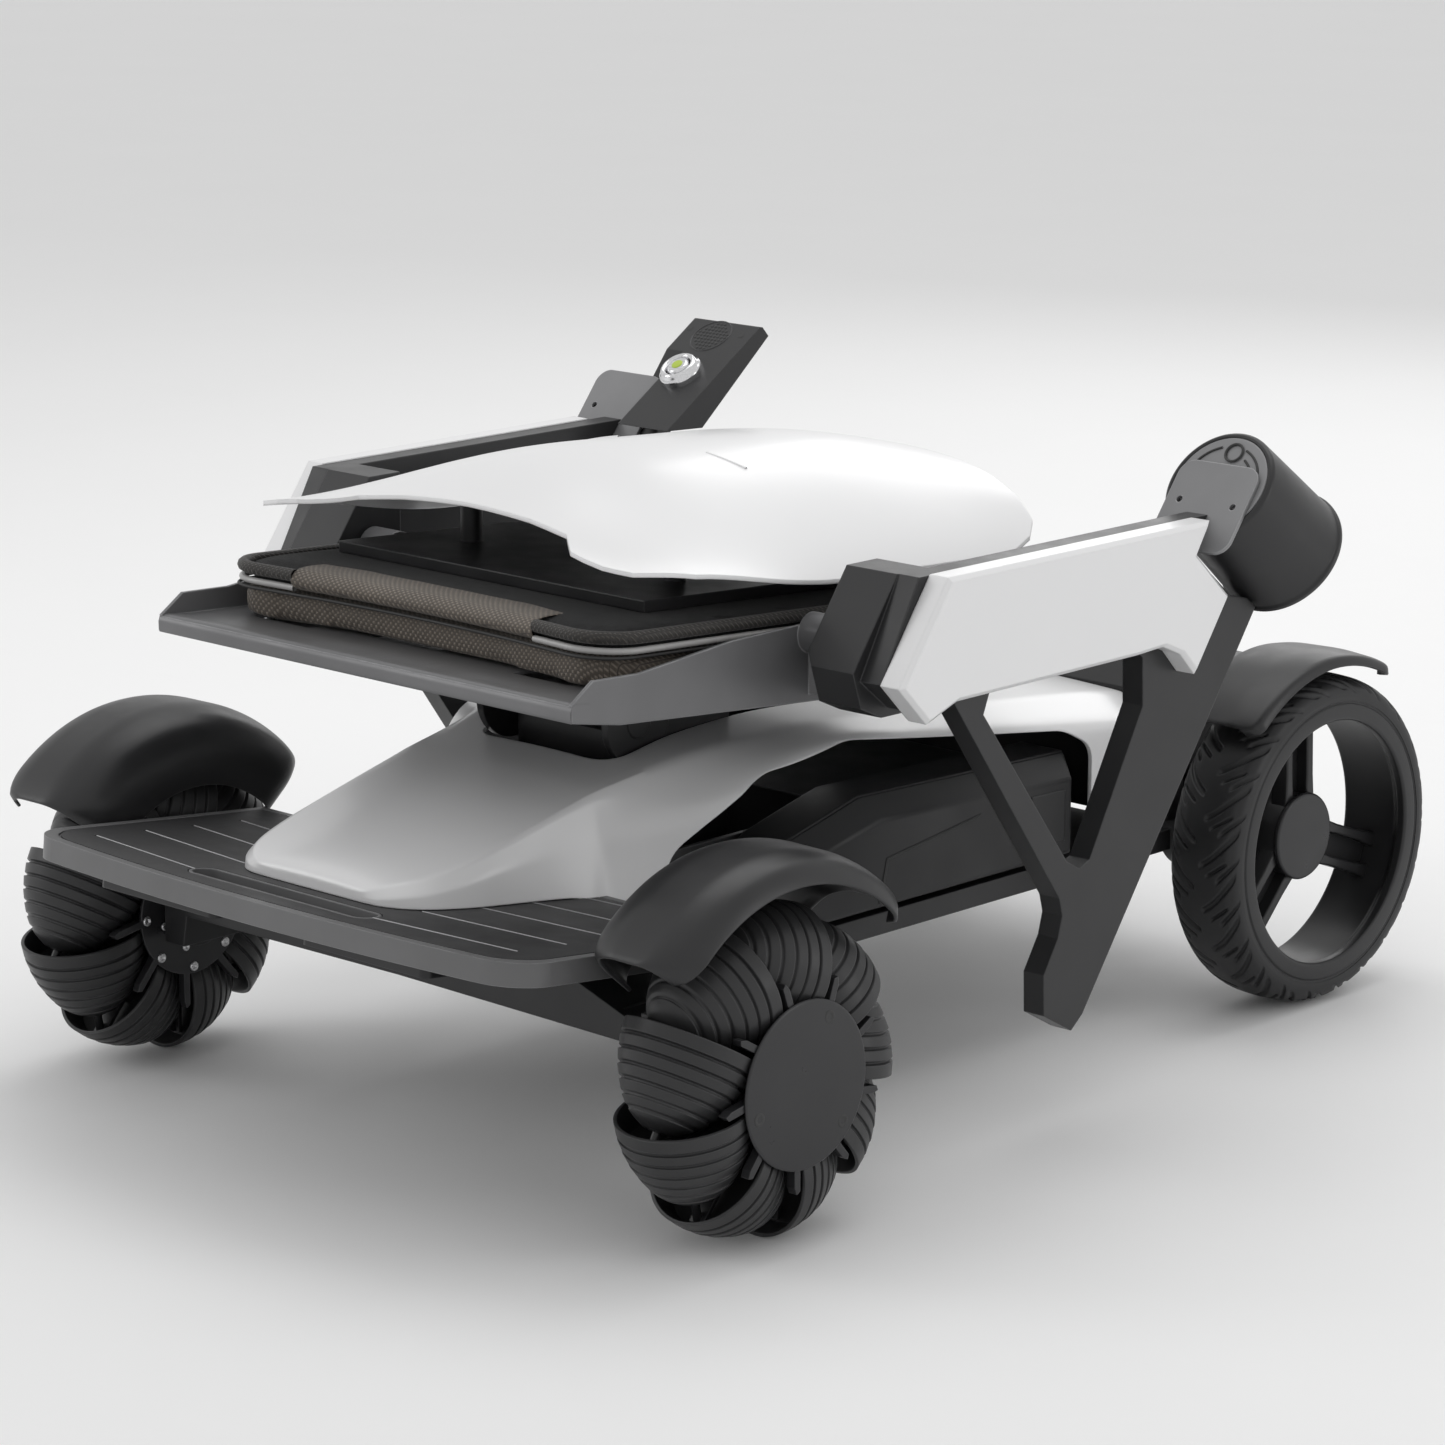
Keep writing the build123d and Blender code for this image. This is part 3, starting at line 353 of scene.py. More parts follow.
def bell_profile():
    """Outer bell with raised bands, tail end, pin bore and hollow cup, as (along, radius) metres."""
    xs = np.linspace(0, 62, 220)
    smooth = np.interp(np.linspace(0, 62, 400), BELL_X, BELL_R)
    smooth = np.convolve(np.pad(smooth, 12, mode="edge"), np.ones(25) / 25, "valid")
    rs = np.interp(xs, np.linspace(0, 62, 400), smooth)
    rs = np.minimum(rs, np.interp(xs, BELL_X, BELL_R) + 0.2)
    for count, centre in enumerate(GROOVES):
        size = 1.0 - 0.08 * count
        rs -= 2.1 * size * np.exp(-(np.abs(xs - centre) / 1.15) ** 6)
        ahead = np.clip((xs - centre) / 8.5, 0, 1)
        rs += np.where((xs > centre) & (xs < centre + 8.5), 0.55 * size * (1 - ahead), 0)
    rs += np.where(xs < 9.0, 0.0, -0.35)
    outer = [(x, r) for x, r in zip(xs, rs)]
    outer[0] = (0.6, rs[0] - 0.5)
    tail = [(62, 6.1), (25, 6.1), (25, 24), (23, 34), (19.5, 39.4), (1.0, 41.6), (0.0, 42.2),
            (0.0, 43.4), (0.6, rs[0] - 0.5)]
    return [(x / 1000, r / 1000) for x, r in outer + tail]


BELL = bell_profile()
for side, sign in SIDES:
    for number in range(9):
        phi = math.radians(30 + 40 * number)
        out = Vector((0, math.cos(phi), math.sin(phi)))
        spin = Vector((0, -math.sin(phi), math.cos(phi)))
        centre = Vector((sign * 0.300, 0, 0)) + FRONT_AXLE + out * 0.067
        node = f"roller_{number + 1}_{side}"
        roller = piece(f"ribbed_roller_{number + 1}_{side}", *lathe(BELL, centre, spin, out, 72), node,
                       "roller_rubber",
                       replaces=(node,))
        roller.data.set_sharp_from_angle(angle=math.radians(50))

for side, sign in SIDES:
    body = f"front_wheel_{side}"
    axis, hub = Vector((sign, 0, 0)), FRONT_AXLE + Vector((sign * 0.3442, 0, 0))
    disc = rounded([(0, 0.0), (0, 0.0562), (0.0012, 0.0562), (0.0019, 0.0552), (0.0023, 0.030),
                    (0.0023, 0)], 0.0008)
    piece(f"hub_disc_{side}", *lathe(disc, hub, axis, (0, 0, 1), 128), body, "hub_dark",
          replaces=(f"omni_cover_{side}",))
    for count, (angle, ring) in enumerate(((63, 0.046), (196, 0.046), (317, 0.046))):
        spot = hub + Vector((sign * 0.0019, ring * math.cos(math.radians(angle)),
                             ring * math.sin(math.radians(angle))))
        screw(f"disc_screw_{side}_{count}", spot, axis, 0.0046, body, "rubber_black", 0.0004)
    inner = FRONT_AXLE + Vector((sign * 0.2565, 0, 0))
    for count in range(14):
        ring, angle = (0.042, count * 45.0) if count < 8 else (0.027, count * 60.0 + 15)
        spot = inner + Vector((0, ring * math.cos(math.radians(angle)),
                               ring * math.sin(math.radians(angle))))
        screw(f"inner_screw_{side}_{count}", spot, -axis, 0.0036 if count < 8 else 0.0030, body,
              "bright_metal", 0.0014)

# ---------------------------------------------------------------------------
# Rear wheels: treaded tyre, deep rim, cap
# ---------------------------------------------------------------------------
TYRE_PROFILE = rounded([(-30.9, 107.2), (-31, 112), (-29.5, 117), (-24, 121.7), (-16, 124.0), (0, 124.9),
                        (16, 124.0),
                        (24, 121.7), (29.5, 117), (31, 112), (30.9, 107.2)], 6, 5)


def tyre(side, sign):
    """Tyre skin with curved sipes pressed in; its open inner edges end at the rim."""
    s = np.array(TYRE_PROFILE)
    length = np.concatenate([[0], np.cumsum(np.hypot(*np.diff(s, axis=0).T))])
    fine = np.linspace(0, length[-1], 110)
    xs, rs = np.interp(fine, length, s[:, 0]), np.interp(fine, length, s[:, 1])
    count = 1200
    theta = np.linspace(0, 2 * math.pi, count, endpoint=False)
    arc = theta[:, None] * 125.0
    u = (xs / 31.0)[None, :]
    reach = np.abs(np.linspace(-1, 1, len(xs)))[None, :]
    depth = np.zeros((count, len(xs)))
    pitch = 2 * math.pi * 125.0 / 22
    for half in (-1, 1):
        mine = (u * half > 0.0)
        shift = 0.0 if half > 0 else pitch / 2
        for kind, (start, stop, lean, curve, width, offset) in enumerate((
                (0.05, 0.80, 46.0, 1.55, 2.0, 0.0), (0.40, 0.86, 40.0, 1.3, 1.5, 0.36),
                    (0.20, 0.62, 30.0, 1.2, 1.1, 0.68))):
            line = lean * reach ** curve + shift + offset * pitch
            gap = (arc + line + pitch / 2) % pitch - pitch / 2
            slope = lean * curve * np.maximum(reach, 0.02) ** (curve - 1) / 42.0
            gap = np.abs(gap) / np.sqrt(1 + slope ** 2)
            ends = np.clip((reach - start) / 0.06, 0, 1) * np.clip((stop - reach) / 0.08, 0, 1)
            cut = np.exp(-(gap / width) ** 4) * ends * mine
            depth = np.maximum(depth, cut * 2.6)
    ring = 0.8 * np.exp(-((rs - 111.5) / 0.7) ** 2)[None, :]
    r = rs[None, :] - depth - ring * (np.abs(u) > 0.9)
    x = np.broadcast_to(xs[None, :] * sign, r.shape) / 1000 + sign * 0.221
    y = REAR_AXLE.y + r * np.cos(theta)[:, None] / 1000
    z = REAR_AXLE.z + r * np.sin(theta)[:, None] / 1000
    verts = np.stack([x, y, z], -1).reshape(-1, 3).tolist()
    faces = grid_faces(count, len(xs), wrap_rows=True)
    obj = piece(f"treaded_tyre_{side}", verts, faces, f"rear_wheel_{side}", "tyre_black",
                replaces=(f"rear_tyre_{side}",))
    obj.data.set_sharp_from_angle(angle=math.radians(60))
    if sign < 0:
        obj.data.flip_normals()
    return obj


RIM_PROFILE = rounded([(-30.8, 107.0), (-30.8, 99.5), (-29, 98.6), (16, 99.0), (21.5, 95.0), (23, 92.6),
                       (29.4, 92.4),
                       (30.8, 94.0), (30.8, 104.6), (29.6, 105.2), (29.6, 106.2), (30.6, 106.9),
                           (30.4, 107.2)], 1.2)
for side, sign in SIDES:
    tyre(side, sign)
    body, hub = f"rear_wheel_{side}", REAR_AXLE + Vector((sign * 0.221, 0, 0))
    rim = [(a / 1000, r / 1000) for a, r in RIM_PROFILE]
    piece(f"deep_rim_{side}", *lathe(rim, hub, (sign, 0, 0), (0, 0, 1), 160), body, "rim_dark",
          replaces=(f"rear_rim_{side}",))
    boss = rounded([(-0.027, 0.0105), (-0.027, 0.030), (-0.016, 0.0315), (-0.001, 0.0315),
                    (0.0014, 0.031), (0.0014, 0.0105)], 0.002)
    piece(f"wheel_boss_{side}", *lathe(boss, hub, (sign, 0, 0), (0, 0, 1), 96), body, "rim_dark")
    cap = rounded([(0.0015, 0.0), (0.0015, 0.0332), (0.0040, 0.0332), (0.0054, 0.0318), (0.0055, 0)], 0.0009)
    piece(f"blank_cap_{side}", *lathe(cap, hub, (sign, 0, 0), (0, 0, 1), 96), body, "hub_dark",
          replaces=(f"wheel_cap_{side}",))
    for spoke, angle in enumerate((92, 226, 340)):
        a = math.radians(angle)
        out, across = Vector((0, math.cos(a), math.sin(a))), Vector((0, -math.sin(a), math.cos(a)))
        for rib, (offset, x0, x1,
            half) in enumerate(((-0.0125, -14, 1, 0.0038), (0.0125, -14, 1, 0.0038), (0, -14, -9, 0.012))):
            verts = []
            for radius, grow in ((0.024, 1.35), (0.045, 1.0), (0.080, 1.0), (0.0995, 1.5)):
                for dx, dy in ((x0, -1), (x1, -1), (x1, 1), (x0, 1)):
                    depth = dx - (1.5 if radius > 0.09 and dx > -9 else 0)
                    verts.append(hub + Vector((sign * depth / 1000, 0, 0)) + out * radius
                                 + across * (offset + dy * half * (grow if rib < 2 else 1.0)))
            faces = [(0, 1, 2, 3), (15, 14, 13, 12)]
            faces += [(4 * k + i, 4 * k + 4 + i, 4 * k + 4 + (i + 1) % 4, 4 * k + (i + 1) % 4)
                      for k in range(3) for i in range(4)]
            bar = piece(f"spoke_{side}_{spoke}_{rib}", verts, faces, body, "rim_dark")
            fix_normals(bar)
            bevel(bar, 0.0016)

# ---------------------------------------------------------------------------
# Fenders: smooth shells turned about the axles
# ---------------------------------------------------------------------------


def fender(name, centre, sign, section, turn, body, ends, replaces=()):
    """Thin shell swept about an axle; section is (x, radius) mm, narrowed near both ends of the turn."""
    steps = 60
    verts = []
    base = np.array(section)
    mid = base[:, 0].mean()
    for k, angle in enumerate(np.radians(np.linspace(*turn, steps))):
        f = k / (steps - 1)
        near = min(f, 1 - f) / ends
        grow = 1.0 if near >= 1 else math.sqrt(max(1 - (1 - near) ** 2, 0.0)) * 0.30 + 0.70
        for x, r in base:
            px = mid + (x - mid) * grow
            verts.append((sign * px / 1000, centre.y + r * math.cos(angle) / 1000,
                          centre.z + r * math.sin(angle) / 1000))
    obj = piece(name, verts, grid_faces(steps, len(base)), body, "dark_plastic", replaces=replaces)
    fix_normals(obj)
    mod = obj.modifiers.new("wall", "SOLIDIFY")
    mod.thickness, mod.offset = 0.0026, 0.0
    bevel(obj, 0.0009, 2, 50)
    return obj


FRONT_SECTION = rounded([(248, 93), (248, 122), (256, 139), (276, 147), (318, 146.5), (332, 142),
                         (341, 129)], 14, 6)
REAR_SECTION = rounded([(178, 132), (178.5, 138.5), (192, 141.5), (226, 142.5), (250, 140.5),
                        (253, 134)], 6, 5)
for side, sign in SIDES:
    fender(f"front_guard_{side}", FRONT_AXLE, sign, FRONT_SECTION, (40, 140), "chassis", 0.10,
           ("front_fenders",) if sign > 0 else ())
    fender(f"rear_guard_{side}", REAR_AXLE, sign, REAR_SECTION, (60, 134), "chassis", 0.05,
           ("rear_fenders",) if sign > 0 else ())

# ---------------------------------------------------------------------------
# White body shell
# ---------------------------------------------------------------------------
COVER = (
    (-394, (57, 197.6), (57, 200.5), (50, 204.5), 206),
    (-390, (72, 197.2), (71, 203), (62, 209), 211),
    (-375, (89, 195.8), (88, 205), (79, 212.5), 219),
    (-340, (99, 192.2), (96, 208), (90, 218.5), 226),
    (-305, (101, 188.6), (98, 213), (91, 227.5), 235),
    (-265, (103, 184.5), (98, 218), (92, 238), 245),
    (-228, (111, 181.0), (101, 219), (93, 247), 252),
    (-221, (112, 134.0), (104, 216), (94, 249), 253.5),
    (-190, (122, 134.0), (113, 220), (96, 254), 258),
    (-160, (136, 134.0), (129, 227), (100, 259), 262),
    (-135, (151, 134.0), (148, 240), (106, 264), 266),
    (-112, (160.5, 134.0), (160.5, 253), (111, 266.5), 268),
    (-70, (161, 134.0), (161.5, 262), (114, 268.5), 269.5),
    (-20, (161, 134.0), (161.5, 264), (115, 268.5), 270),
    (90, (161, 134.0), (161.5, 249), (115, 258.5), 260),
    (200, (160, 134.0), (160.5, 233), (115, 247), 249.5),
    (290, (157, 134.0), (157, 221), (112, 237), 240),
    (326, (150, 134.0), (150, 213), (107, 230), 233),
)


def cover_mesh(name, sections):
    rows = []
    for y, (x0, z0), (x1, z1), (x2, z2), crown in sections:
        half = [(x0, z0), (x1 * 0.5 + x0 * 0.5, z0 * 0.5 + z1 * 0.5), (x1, z1), (x2, z2),
                (x2 * 0.52, crown - (crown - z2) * 0.24)]
        ring = half + [(0, crown)] + [(-x, z) for x, z in reversed(half)]
        rows.append([(x / 1000, y / 1000 + D, z / 1000) for x, z in ring])
    cols = len(rows[0])
    verts = [v for row in rows for v in row]
    faces = grid_faces(len(rows), cols)
    front = list(range(cols))
    faces.append(tuple(front))
    obj = piece(name, verts, faces, "chassis", "white_gloss", replaces=("body_cover",))
    fix_normals(obj)
    crease = obj.data.attributes.new("crease_edge", "FLOAT", "EDGE")
    for edge in obj.data.edges:
        a, b = (v % cols for v in edge.vertices)
        if a == b and a in (3, cols - 4):
            crease.data[edge.index].value = 0.55
        if a == b and a in (2, cols - 3):
            crease.data[edge.index].value = 0.35
        if a == b and a in (0, cols - 1):
            crease.data[edge.index].value = 1.0
        if max(edge.vertices) < cols:
            crease.data[edge.index].value = 0.35
    smooth = obj.modifiers.new("smooth", "SUBSURF")
    smooth.levels = smooth.render_levels = 3
    wall = obj.modifiers.new("wall", "SOLIDIFY")
    wall.thickness, wall.offset = 0.0035, -1.0
    return obj


def cutter(name, verts, faces):
    """Hidden solid that only serves a boolean, deleted once applied."""
    mesh = bpy.data.meshes.new(name)
    mesh.from_pydata([tuple(v) for v in verts], [], faces)
    obj = bpy.data.objects.new(name, mesh)
    bpy.context.collection.objects.link(obj)
    fix_normals(obj)
    return obj


def block(outline, low, high, plane):
    """Closed prism: outline in (y, z) run along x, or in (x, y) run along z; millimetres."""
    n = len(outline)
    verts = []
    for depth in (low, high):
        for a, b in outline:
            p = (depth, a, b) if plane == "yz" else (a, b, depth)
            verts.append((p[0] / 1000, p[1] / 1000 + D, p[2] / 1000))
    faces = [tuple(range(n)), tuple(range(2 * n - 1, n - 1, -1))]
    faces += [(i, (i + 1) % n, (i + 1) % n + n, i + n) for i in range(n)]
    return verts, faces


def cut(obj, cutters):
    """Applies all modifiers, then subtracts the cutters."""
    for tool in cutters:
        mod = obj.modifiers.new("cut", "BOOLEAN")
        mod.operation, mod.object, mod.solver = "DIFFERENCE", tool, "EXACT"
    bake(obj)
    for tool in cutters:
        bpy.data.objects.remove(tool)


def bake(obj):
    """Modifiers made real."""
    graph = bpy.context.evaluated_depsgraph_get()
    graph.update()
    mesh = bpy.data.meshes.new_from_object(obj.evaluated_get(graph))
    obj.modifiers.clear()
    obj.data = mesh


def round_outline(points, radius, steps=6):
    """Closed outline with rounded corners."""
    loop = [points[-1]] + list(points) + [points[0]]
    return rounded(loop, radius, steps)[1:-1]


BAY = ((-202, 100), (-178, 201), (-117, 252), (-68, 258.5), (-36, 262.5), (196, 230), (226, 214), (226, 100))
shell = cover_mesh("white_body_shell", COVER)
opening = round_outline([(-68, -183), (68, -183), (62, 60), (-62, 60)], 24)
cut(shell, [cutter("bay_left", *block(round_outline(BAY, 12), 106, 190, "yz")),
            cutter("bay_right", *block(round_outline(BAY, 12), -190, -106, "yz")),
            cutter("top_hole", *block(opening, 215, 300, "xy"))])
dress(shell, "chassis", "white_gloss", sharp=35)

# Battery packs: bevelled cases with a pressed line and end latch
BATTERY = ((204, 134.5), (204, 213), (-20, 219), (-95, 200), (-160, 150), (-163, 134.5))
for side, sign in SIDES:
    prism(f"battery_case_{side}", BATTERY, sign * 110, sign * 150, "chassis", "battery_black",
          (f"battery_{side}",), 0.0016)
    inset = ((196, 140), (196, 196), (-12, 203), (-84, 186), (-140, 150), (-144, 140))
    verts = [(sign * 0.150, y / 1000 + D, z / 1000) for y, z in BATTERY] + \
            [(sign * 0.1655, y / 1000 + D, z / 1000) for y, z in inset]
    faces = [(i, (i + 1) % 6, (i + 1) % 6 + 6, i + 6) for i in range(6)] + [tuple(range(6, 12)),
        tuple(range(5, -1, -1))]
    lid = piece(f"battery_lid_{side}", verts, faces, "chassis", "battery_black")
    fix_normals(lid)
    bevel(lid, 0.0022)
    line = ((93, 186), (94.5, 188), (-6, 174.5), (-14, 143), (-12, 142), (-4, 172.5))
    prism(f"battery_line_{side}", line, sign * 165.2, sign * 166.0, "chassis", "rubber_black")
    prism(f"battery_latch_{side}", ((150, 150), (150, 190), (188, 189), (188, 150)), sign * 164.8,
          sign * 166.4, "chassis",
          "dark_plastic", width=0.002)

# ---------------------------------------------------------------------------
# Cushions: inflated from the CAD pads by a short cloth simulation
# ---------------------------------------------------------------------------


def seat_z(y):
    return 346 - 0.058 * (y + 345)


def corner(x, y, half_x, half_y, radius):
    """Plan point of a rectangle moved inside its rounded corner."""
    dx, dy = max(abs(x) - half_x + radius, 0), max(abs(y) - half_y + radius, 0)
    if dx * dy == 0:
        return x, y
    squeeze = max(dx, dy) / math.hypot(dx, dy)
    return (math.copysign(half_x - radius + dx * squeeze, x),
            math.copysign(half_y - radius + dy * squeeze, y))


def pad(name, node, front, back, low, high, half, arch, body, slot):
    """Closed pad on the seat slope with a bowed front edge, puffed by pressure."""
    verts, ys = [], np.linspace(0, 1, 40)
    xs = np.linspace(-1, 1, 41)
    for level in (low, high):
        for v in ys:
            for u in xs:
                bow = arch * (1 - u * u) * (1 - v) ** 2
                x, y = corner(u * half, (back - front) * (v - 0.5), half, (back - front) / 2, 36)
                y += (front + back) / 2 + bow
                verts.append((x / 1000, y / 1000 + D, (seat_z(y) + level) / 1000))
    n, cols = len(ys) * len(xs), len(xs)
    faces = [f[::-1] for f in grid_faces(len(ys), cols)] + [tuple(i + n for i in f)
                                                            for f in grid_faces(len(ys), cols)]
    rim = list(range(cols)) + [cols * k + cols - 1 for k in range(1, len(ys))] + \
        [n - 1 - k for k in range(1, cols)] + [cols * k for k in range(len(ys) - 2, 0, -1)]
    faces += [(rim[i], rim[(i + 1) % len(rim)], rim[(i + 1) % len(rim)] + n, rim[i] + n)
              for i in range(len(rim))]
    obj = piece(name, verts, faces, body, slot, replaces=(node,))
    fix_normals(obj)
    mesh = obj.modifiers.new("even", "REMESH")
    mesh.mode, mesh.voxel_size = "VOXEL", 0.0055
    bake(obj)
    inflate(obj, 4.0, 0.0045)
    obj.modifiers.new("soft", "CORRECTIVE_SMOOTH").iterations = 3
    fine = obj.modifiers.new("fine", "SUBSURF")
    fine.levels = fine.render_levels = 1
    bake(obj)
    dress(obj, body, slot, sharp=0)
    return obj


def inflate(obj, pressure, limit):
    """Twenty frames of cloth under pressure, each vertex kept within limit of where it began."""
    start = np.array([v.co for v in obj.data.vertices])
    cloth = obj.modifiers.new("cloth", "CLOTH")
    cloth.settings.use_pressure = True
    cloth.settings.uniform_pressure_force = pressure
    cloth.settings.effector_weights.gravity = 0.0
    cloth.settings.quality = 4
    cloth.point_cache.frame_start, cloth.point_cache.frame_end = 1, 20
    scene = bpy.context.scene
    for number in range(1, 21):
        scene.frame_set(number)
    bake(obj)
    scene.frame_set(1)
    end = np.array([v.co for v in obj.data.vertices])
    move = end - start
    reach = np.linalg.norm(move, axis=1, keepdims=True)
    end = start + move * np.minimum(1.0, limit / np.maximum(reach, 1e-9))
    obj.data.vertices.foreach_set("co", end.ravel())
    obj.data.update()


pad("seat_pad_soft", "seat_cushion", -310, 76, 3, 21, 187, 17, "chassis", "mesh_fabric")
pad("back_pad_soft", "back_cushion", -306, 78, 26, 37, 187, 13, "back", "black_fleece")

# ---------------------------------------------------------------------------
# Cushion trim: mesh wrap band, piping, dimples
# ---------------------------------------------------------------------------


def tube(name, points, radius, body, slot, closed=False, paint=None):
    """Round cord of trim along points, already in row-frame metres."""
    curve = bpy.data.curves.new(name, "CURVE")
    curve.dimensions, curve.bevel_depth, curve.bevel_resolution = "3D", radius, 3
    line = curve.splines.new("NURBS")
    line.points.add(len(points) - 1)
    for point, place in zip(line.points, points):
        point.co = (*place, 1.0)
    line.use_cyclic_u, line.use_endpoint_u, line.order_u = closed, not closed, 4
    line.resolution_u = 6
    temp = bpy.data.objects.new(name, curve)
    bpy.context.collection.objects.link(temp)
    graph = bpy.context.evaluated_depsgraph_get()
    graph.update()
    mesh = bpy.data.meshes.new_from_object(temp.evaluated_get(graph))
    bpy.data.objects.remove(temp)
    obj = bpy.data.objects.new(name, mesh)
    bpy.context.collection.objects.link(obj)
    return dress(obj, body, slot, paint=paint)


def rim(front, back, arch, level, half=187, radius=36, grow=0.0):
    """Points round a pad from its left side over the bowed front to its right side, at a height
    above the pan."""
    plan = [(half, y) for y in np.linspace(back, front + radius, 30)]
    plan += [(half - radius * (1 - math.cos(a)), front + radius * (1 - math.sin(a)))
             for a in np.radians(np.linspace(6, 84, 14))]
    plan += [(x, front) for x in np.linspace(half - radius, 0, 24)]
    plan += [(-x, y) for x, y in reversed(plan[:-1])]
    points = []
    for x, y in plan:
        y += arch * (1 - (x / half) ** 2) * max(0.0, 1 - (y - front) / 120) ** 2
        out = grow if y > front + radius else grow * 0.7
        x += math.copysign(out, x) if abs(x) > half - radius else 0
        points.append((x / 1000, (y - (grow if y <= front + radius else 0)) / 1000 + D,
                       (seat_z(y) + level) / 1000))
    return points


def edge_band(name, front, arch, levels, u0, u1, body, slot, swell=3.2, depth=24.0, half=187):
    """Soft wrap round a pad's front edge, from its underside over to depth behind on top."""
    rows = []
    low, high = levels
    for u in np.linspace(u0, u1, 60):
        y = front + arch * (1 - u * u)
        ring = [(depth * 0.7, low - 0.8), (6, low - 1.4), (0.5, low + 0.8)]
        ring += [(-swell * math.sin(math.pi * f), low + (high - low) * f) for f in (0.2, 0.4, 0.6, 0.8)]
        ring += [(0.5, high + 0.4), (6, high + 2.0), (depth * 0.5, high + 2.6), (depth, high + 0.6),
                 (depth + 1, high - 1)]
        rows.append([(u * half / 1000, (y + a) / 1000 + D, (seat_z(y + a) + z) / 1000) for a, z in ring])
    cols = len(rows[0])
    obj = piece(name, [v for row in rows for v in row], grid_faces(len(rows), cols), body, slot)
    fix_normals(obj)
    wall = obj.modifiers.new("wall", "SOLIDIFY")
    wall.thickness, wall.offset = 0.0012, 1.0
    smooth = obj.modifiers.new("smooth", "SUBSURF")
    smooth.levels = smooth.render_levels = 2
    bake(obj)
    return dress(obj, body, slot, sharp=0)


edge_band("wrap_band", -306, 13, (26.5, 38), -0.635, 0.635, "back", "mesh_fabric", 4.0, 46)
over = rim(-306, 70, 13, 35.5, grow=0.6)
strip = rim(-306, 70, 13, 27.0, grow=1.4)
for side, sign in SIDES:
    outer = [p for p in over if sign * p[0] > 0.117]
    inner = [p for p in strip if sign * p[0] > 0.117]
    tube(f"bead_edge_{side}", outer, 0.0044, "back", "black_fleece", paint="mesh_dark")
    tube(f"silver_piping_{side}", inner, 0.0024, "back", "mesh_fabric", paint="piping")
tube("seat_top_seam", rim(-310, 70, 17, 22.6, grow=1.2), 0.0012, "chassis", "rubber_black")
for sign in (-1, 1):
    for count, y in enumerate((-234, -179, -119)):
        ring = [(0, 0.0175), (0.0006, 0.0165), (0.0009, 0.0150), (0.0003, 0.0135), (0.0001, 0.0)]
        up = Vector((0, 0.058, 1)).normalized()
        spot = Vector((sign * 0.158, y / 1000 + D, (seat_z(y) + 38.6) / 1000))
        piece(f"fleece_dimple_{'left' if sign > 0 else 'right'}_{count}",
              *lathe(ring, spot, up, (1, 0, 0), 48), "back",
              "black_fleece")

# ---------------------------------------------------------------------------
# Back shell: four pressed slots on the crown
# ---------------------------------------------------------------------------
SHELL_Y = (-290, -247, -175, -100, 11, 88, 132, 180)
CROWN, EDGE = (441, 438, 457, 460, 453, 445, 437, 426), (417, 414, 403, 391, 386, 384, 388, 390)


def shell_top(x, y):
    crown, edge = np.interp(y, SHELL_Y, CROWN), np.interp(y, SHELL_Y, EDGE)
    return crown - (crown - edge) * (x / 197.0) ** 2


for count, (x, y, turn) in enumerate(((-62, -120, 0), (62, -120, 0), (-62, -60, 0), (62, -60, 0))):
    points = [((x + s) / 1000, (y + 0.12 * s) / 1000 + D, (shell_top(x + s, y) - 0.4) / 1000)
              for s in np.linspace(-17, 17, 8)]
    tube(f"pressed_slot_{count}", points, 0.0014, "back", "white_gloss")

# ---------------------------------------------------------------------------
# Seat pan's rolled lip and the footplate's groove lines
# ---------------------------------------------------------------------------
LIP = ((-349.7, 334.9), (-350.4, 336.5), (-350.5, 342.5), (-349.6, 345.4), (-347.4, 347.1),
       (-344, 347.3), (-338, 346.4), (-332, 345.5))
lip_verts = [(x / 1000, y / 1000 + D, z / 1000) for x in (-203.2, 203.2) for y, z in LIP]
piece("pan_lip", lip_verts, grid_faces(2, len(LIP)), "chassis", "pan_grey")
# dark sheet just under the pan's floor cut-outs: painted shade seen through the holes
HOLE_SHADE = ((-300, -10.0), (-235, -10.0), (-235, -11.5), (-300, -11.5), (-300, -10.0))
hole_shade_verts = [(x / 1000, y / 1000 + D, (seat_z(y) + off) / 1000) for x in (-190, 190) for y, off in HOLE_SHADE]
piece("pan_hole_shade", hole_shade_verts, grid_faces(2, len(HOLE_SHADE)), "chassis", "dark_metal")
PLATE_TILT = math.radians(5.9)


def on_plate(x, s, off):
    """Point on the footplate's top plane, s along its slope from its middle."""
    y = -340 + s * math.cos(PLATE_TILT) + off * math.sin(PLATE_TILT)
    return Vector((x / 1000, y / 1000 + D,
                   (191.6 - s * math.sin(PLATE_TILT) + off * math.cos(PLATE_TILT)) / 1000))


# light grey cord in each footplate groove: painted highlight
for side, sign in SIDES:
    for row in range(5):
        lean = math.radians(6.4) * sign
        line = []
        for t in np.linspace(-61, 61, 16):
            x, s = sign * 149 + t * math.cos(lean), -73 + 43.7 * row + t * math.sin(lean)
            line.append(on_plate(x, s + 0.9, -0.15))
        tube(f"groove_highlight_{side}_{row}", line, 0.00045, "chassis", "tread_mat", paint="groove_highlight")

# ---------------------------------------------------------------------------
# Cup holder on the bracket plane, and controller
# ---------------------------------------------------------------------------
TILT, SLAB_TILT = math.radians(52), math.radians(33.4)


def on_bracket(x, s, off):
    """Point at x, s up the bracket plane and off along its outward normal; millimetres in, metres out."""
    y = 184.4 + s * math.cos(TILT) - off * math.sin(TILT)
    z = 416.9 + s * math.sin(TILT) + off * math.cos(TILT)
    return Vector((x / 1000, y / 1000 + D, z / 1000))


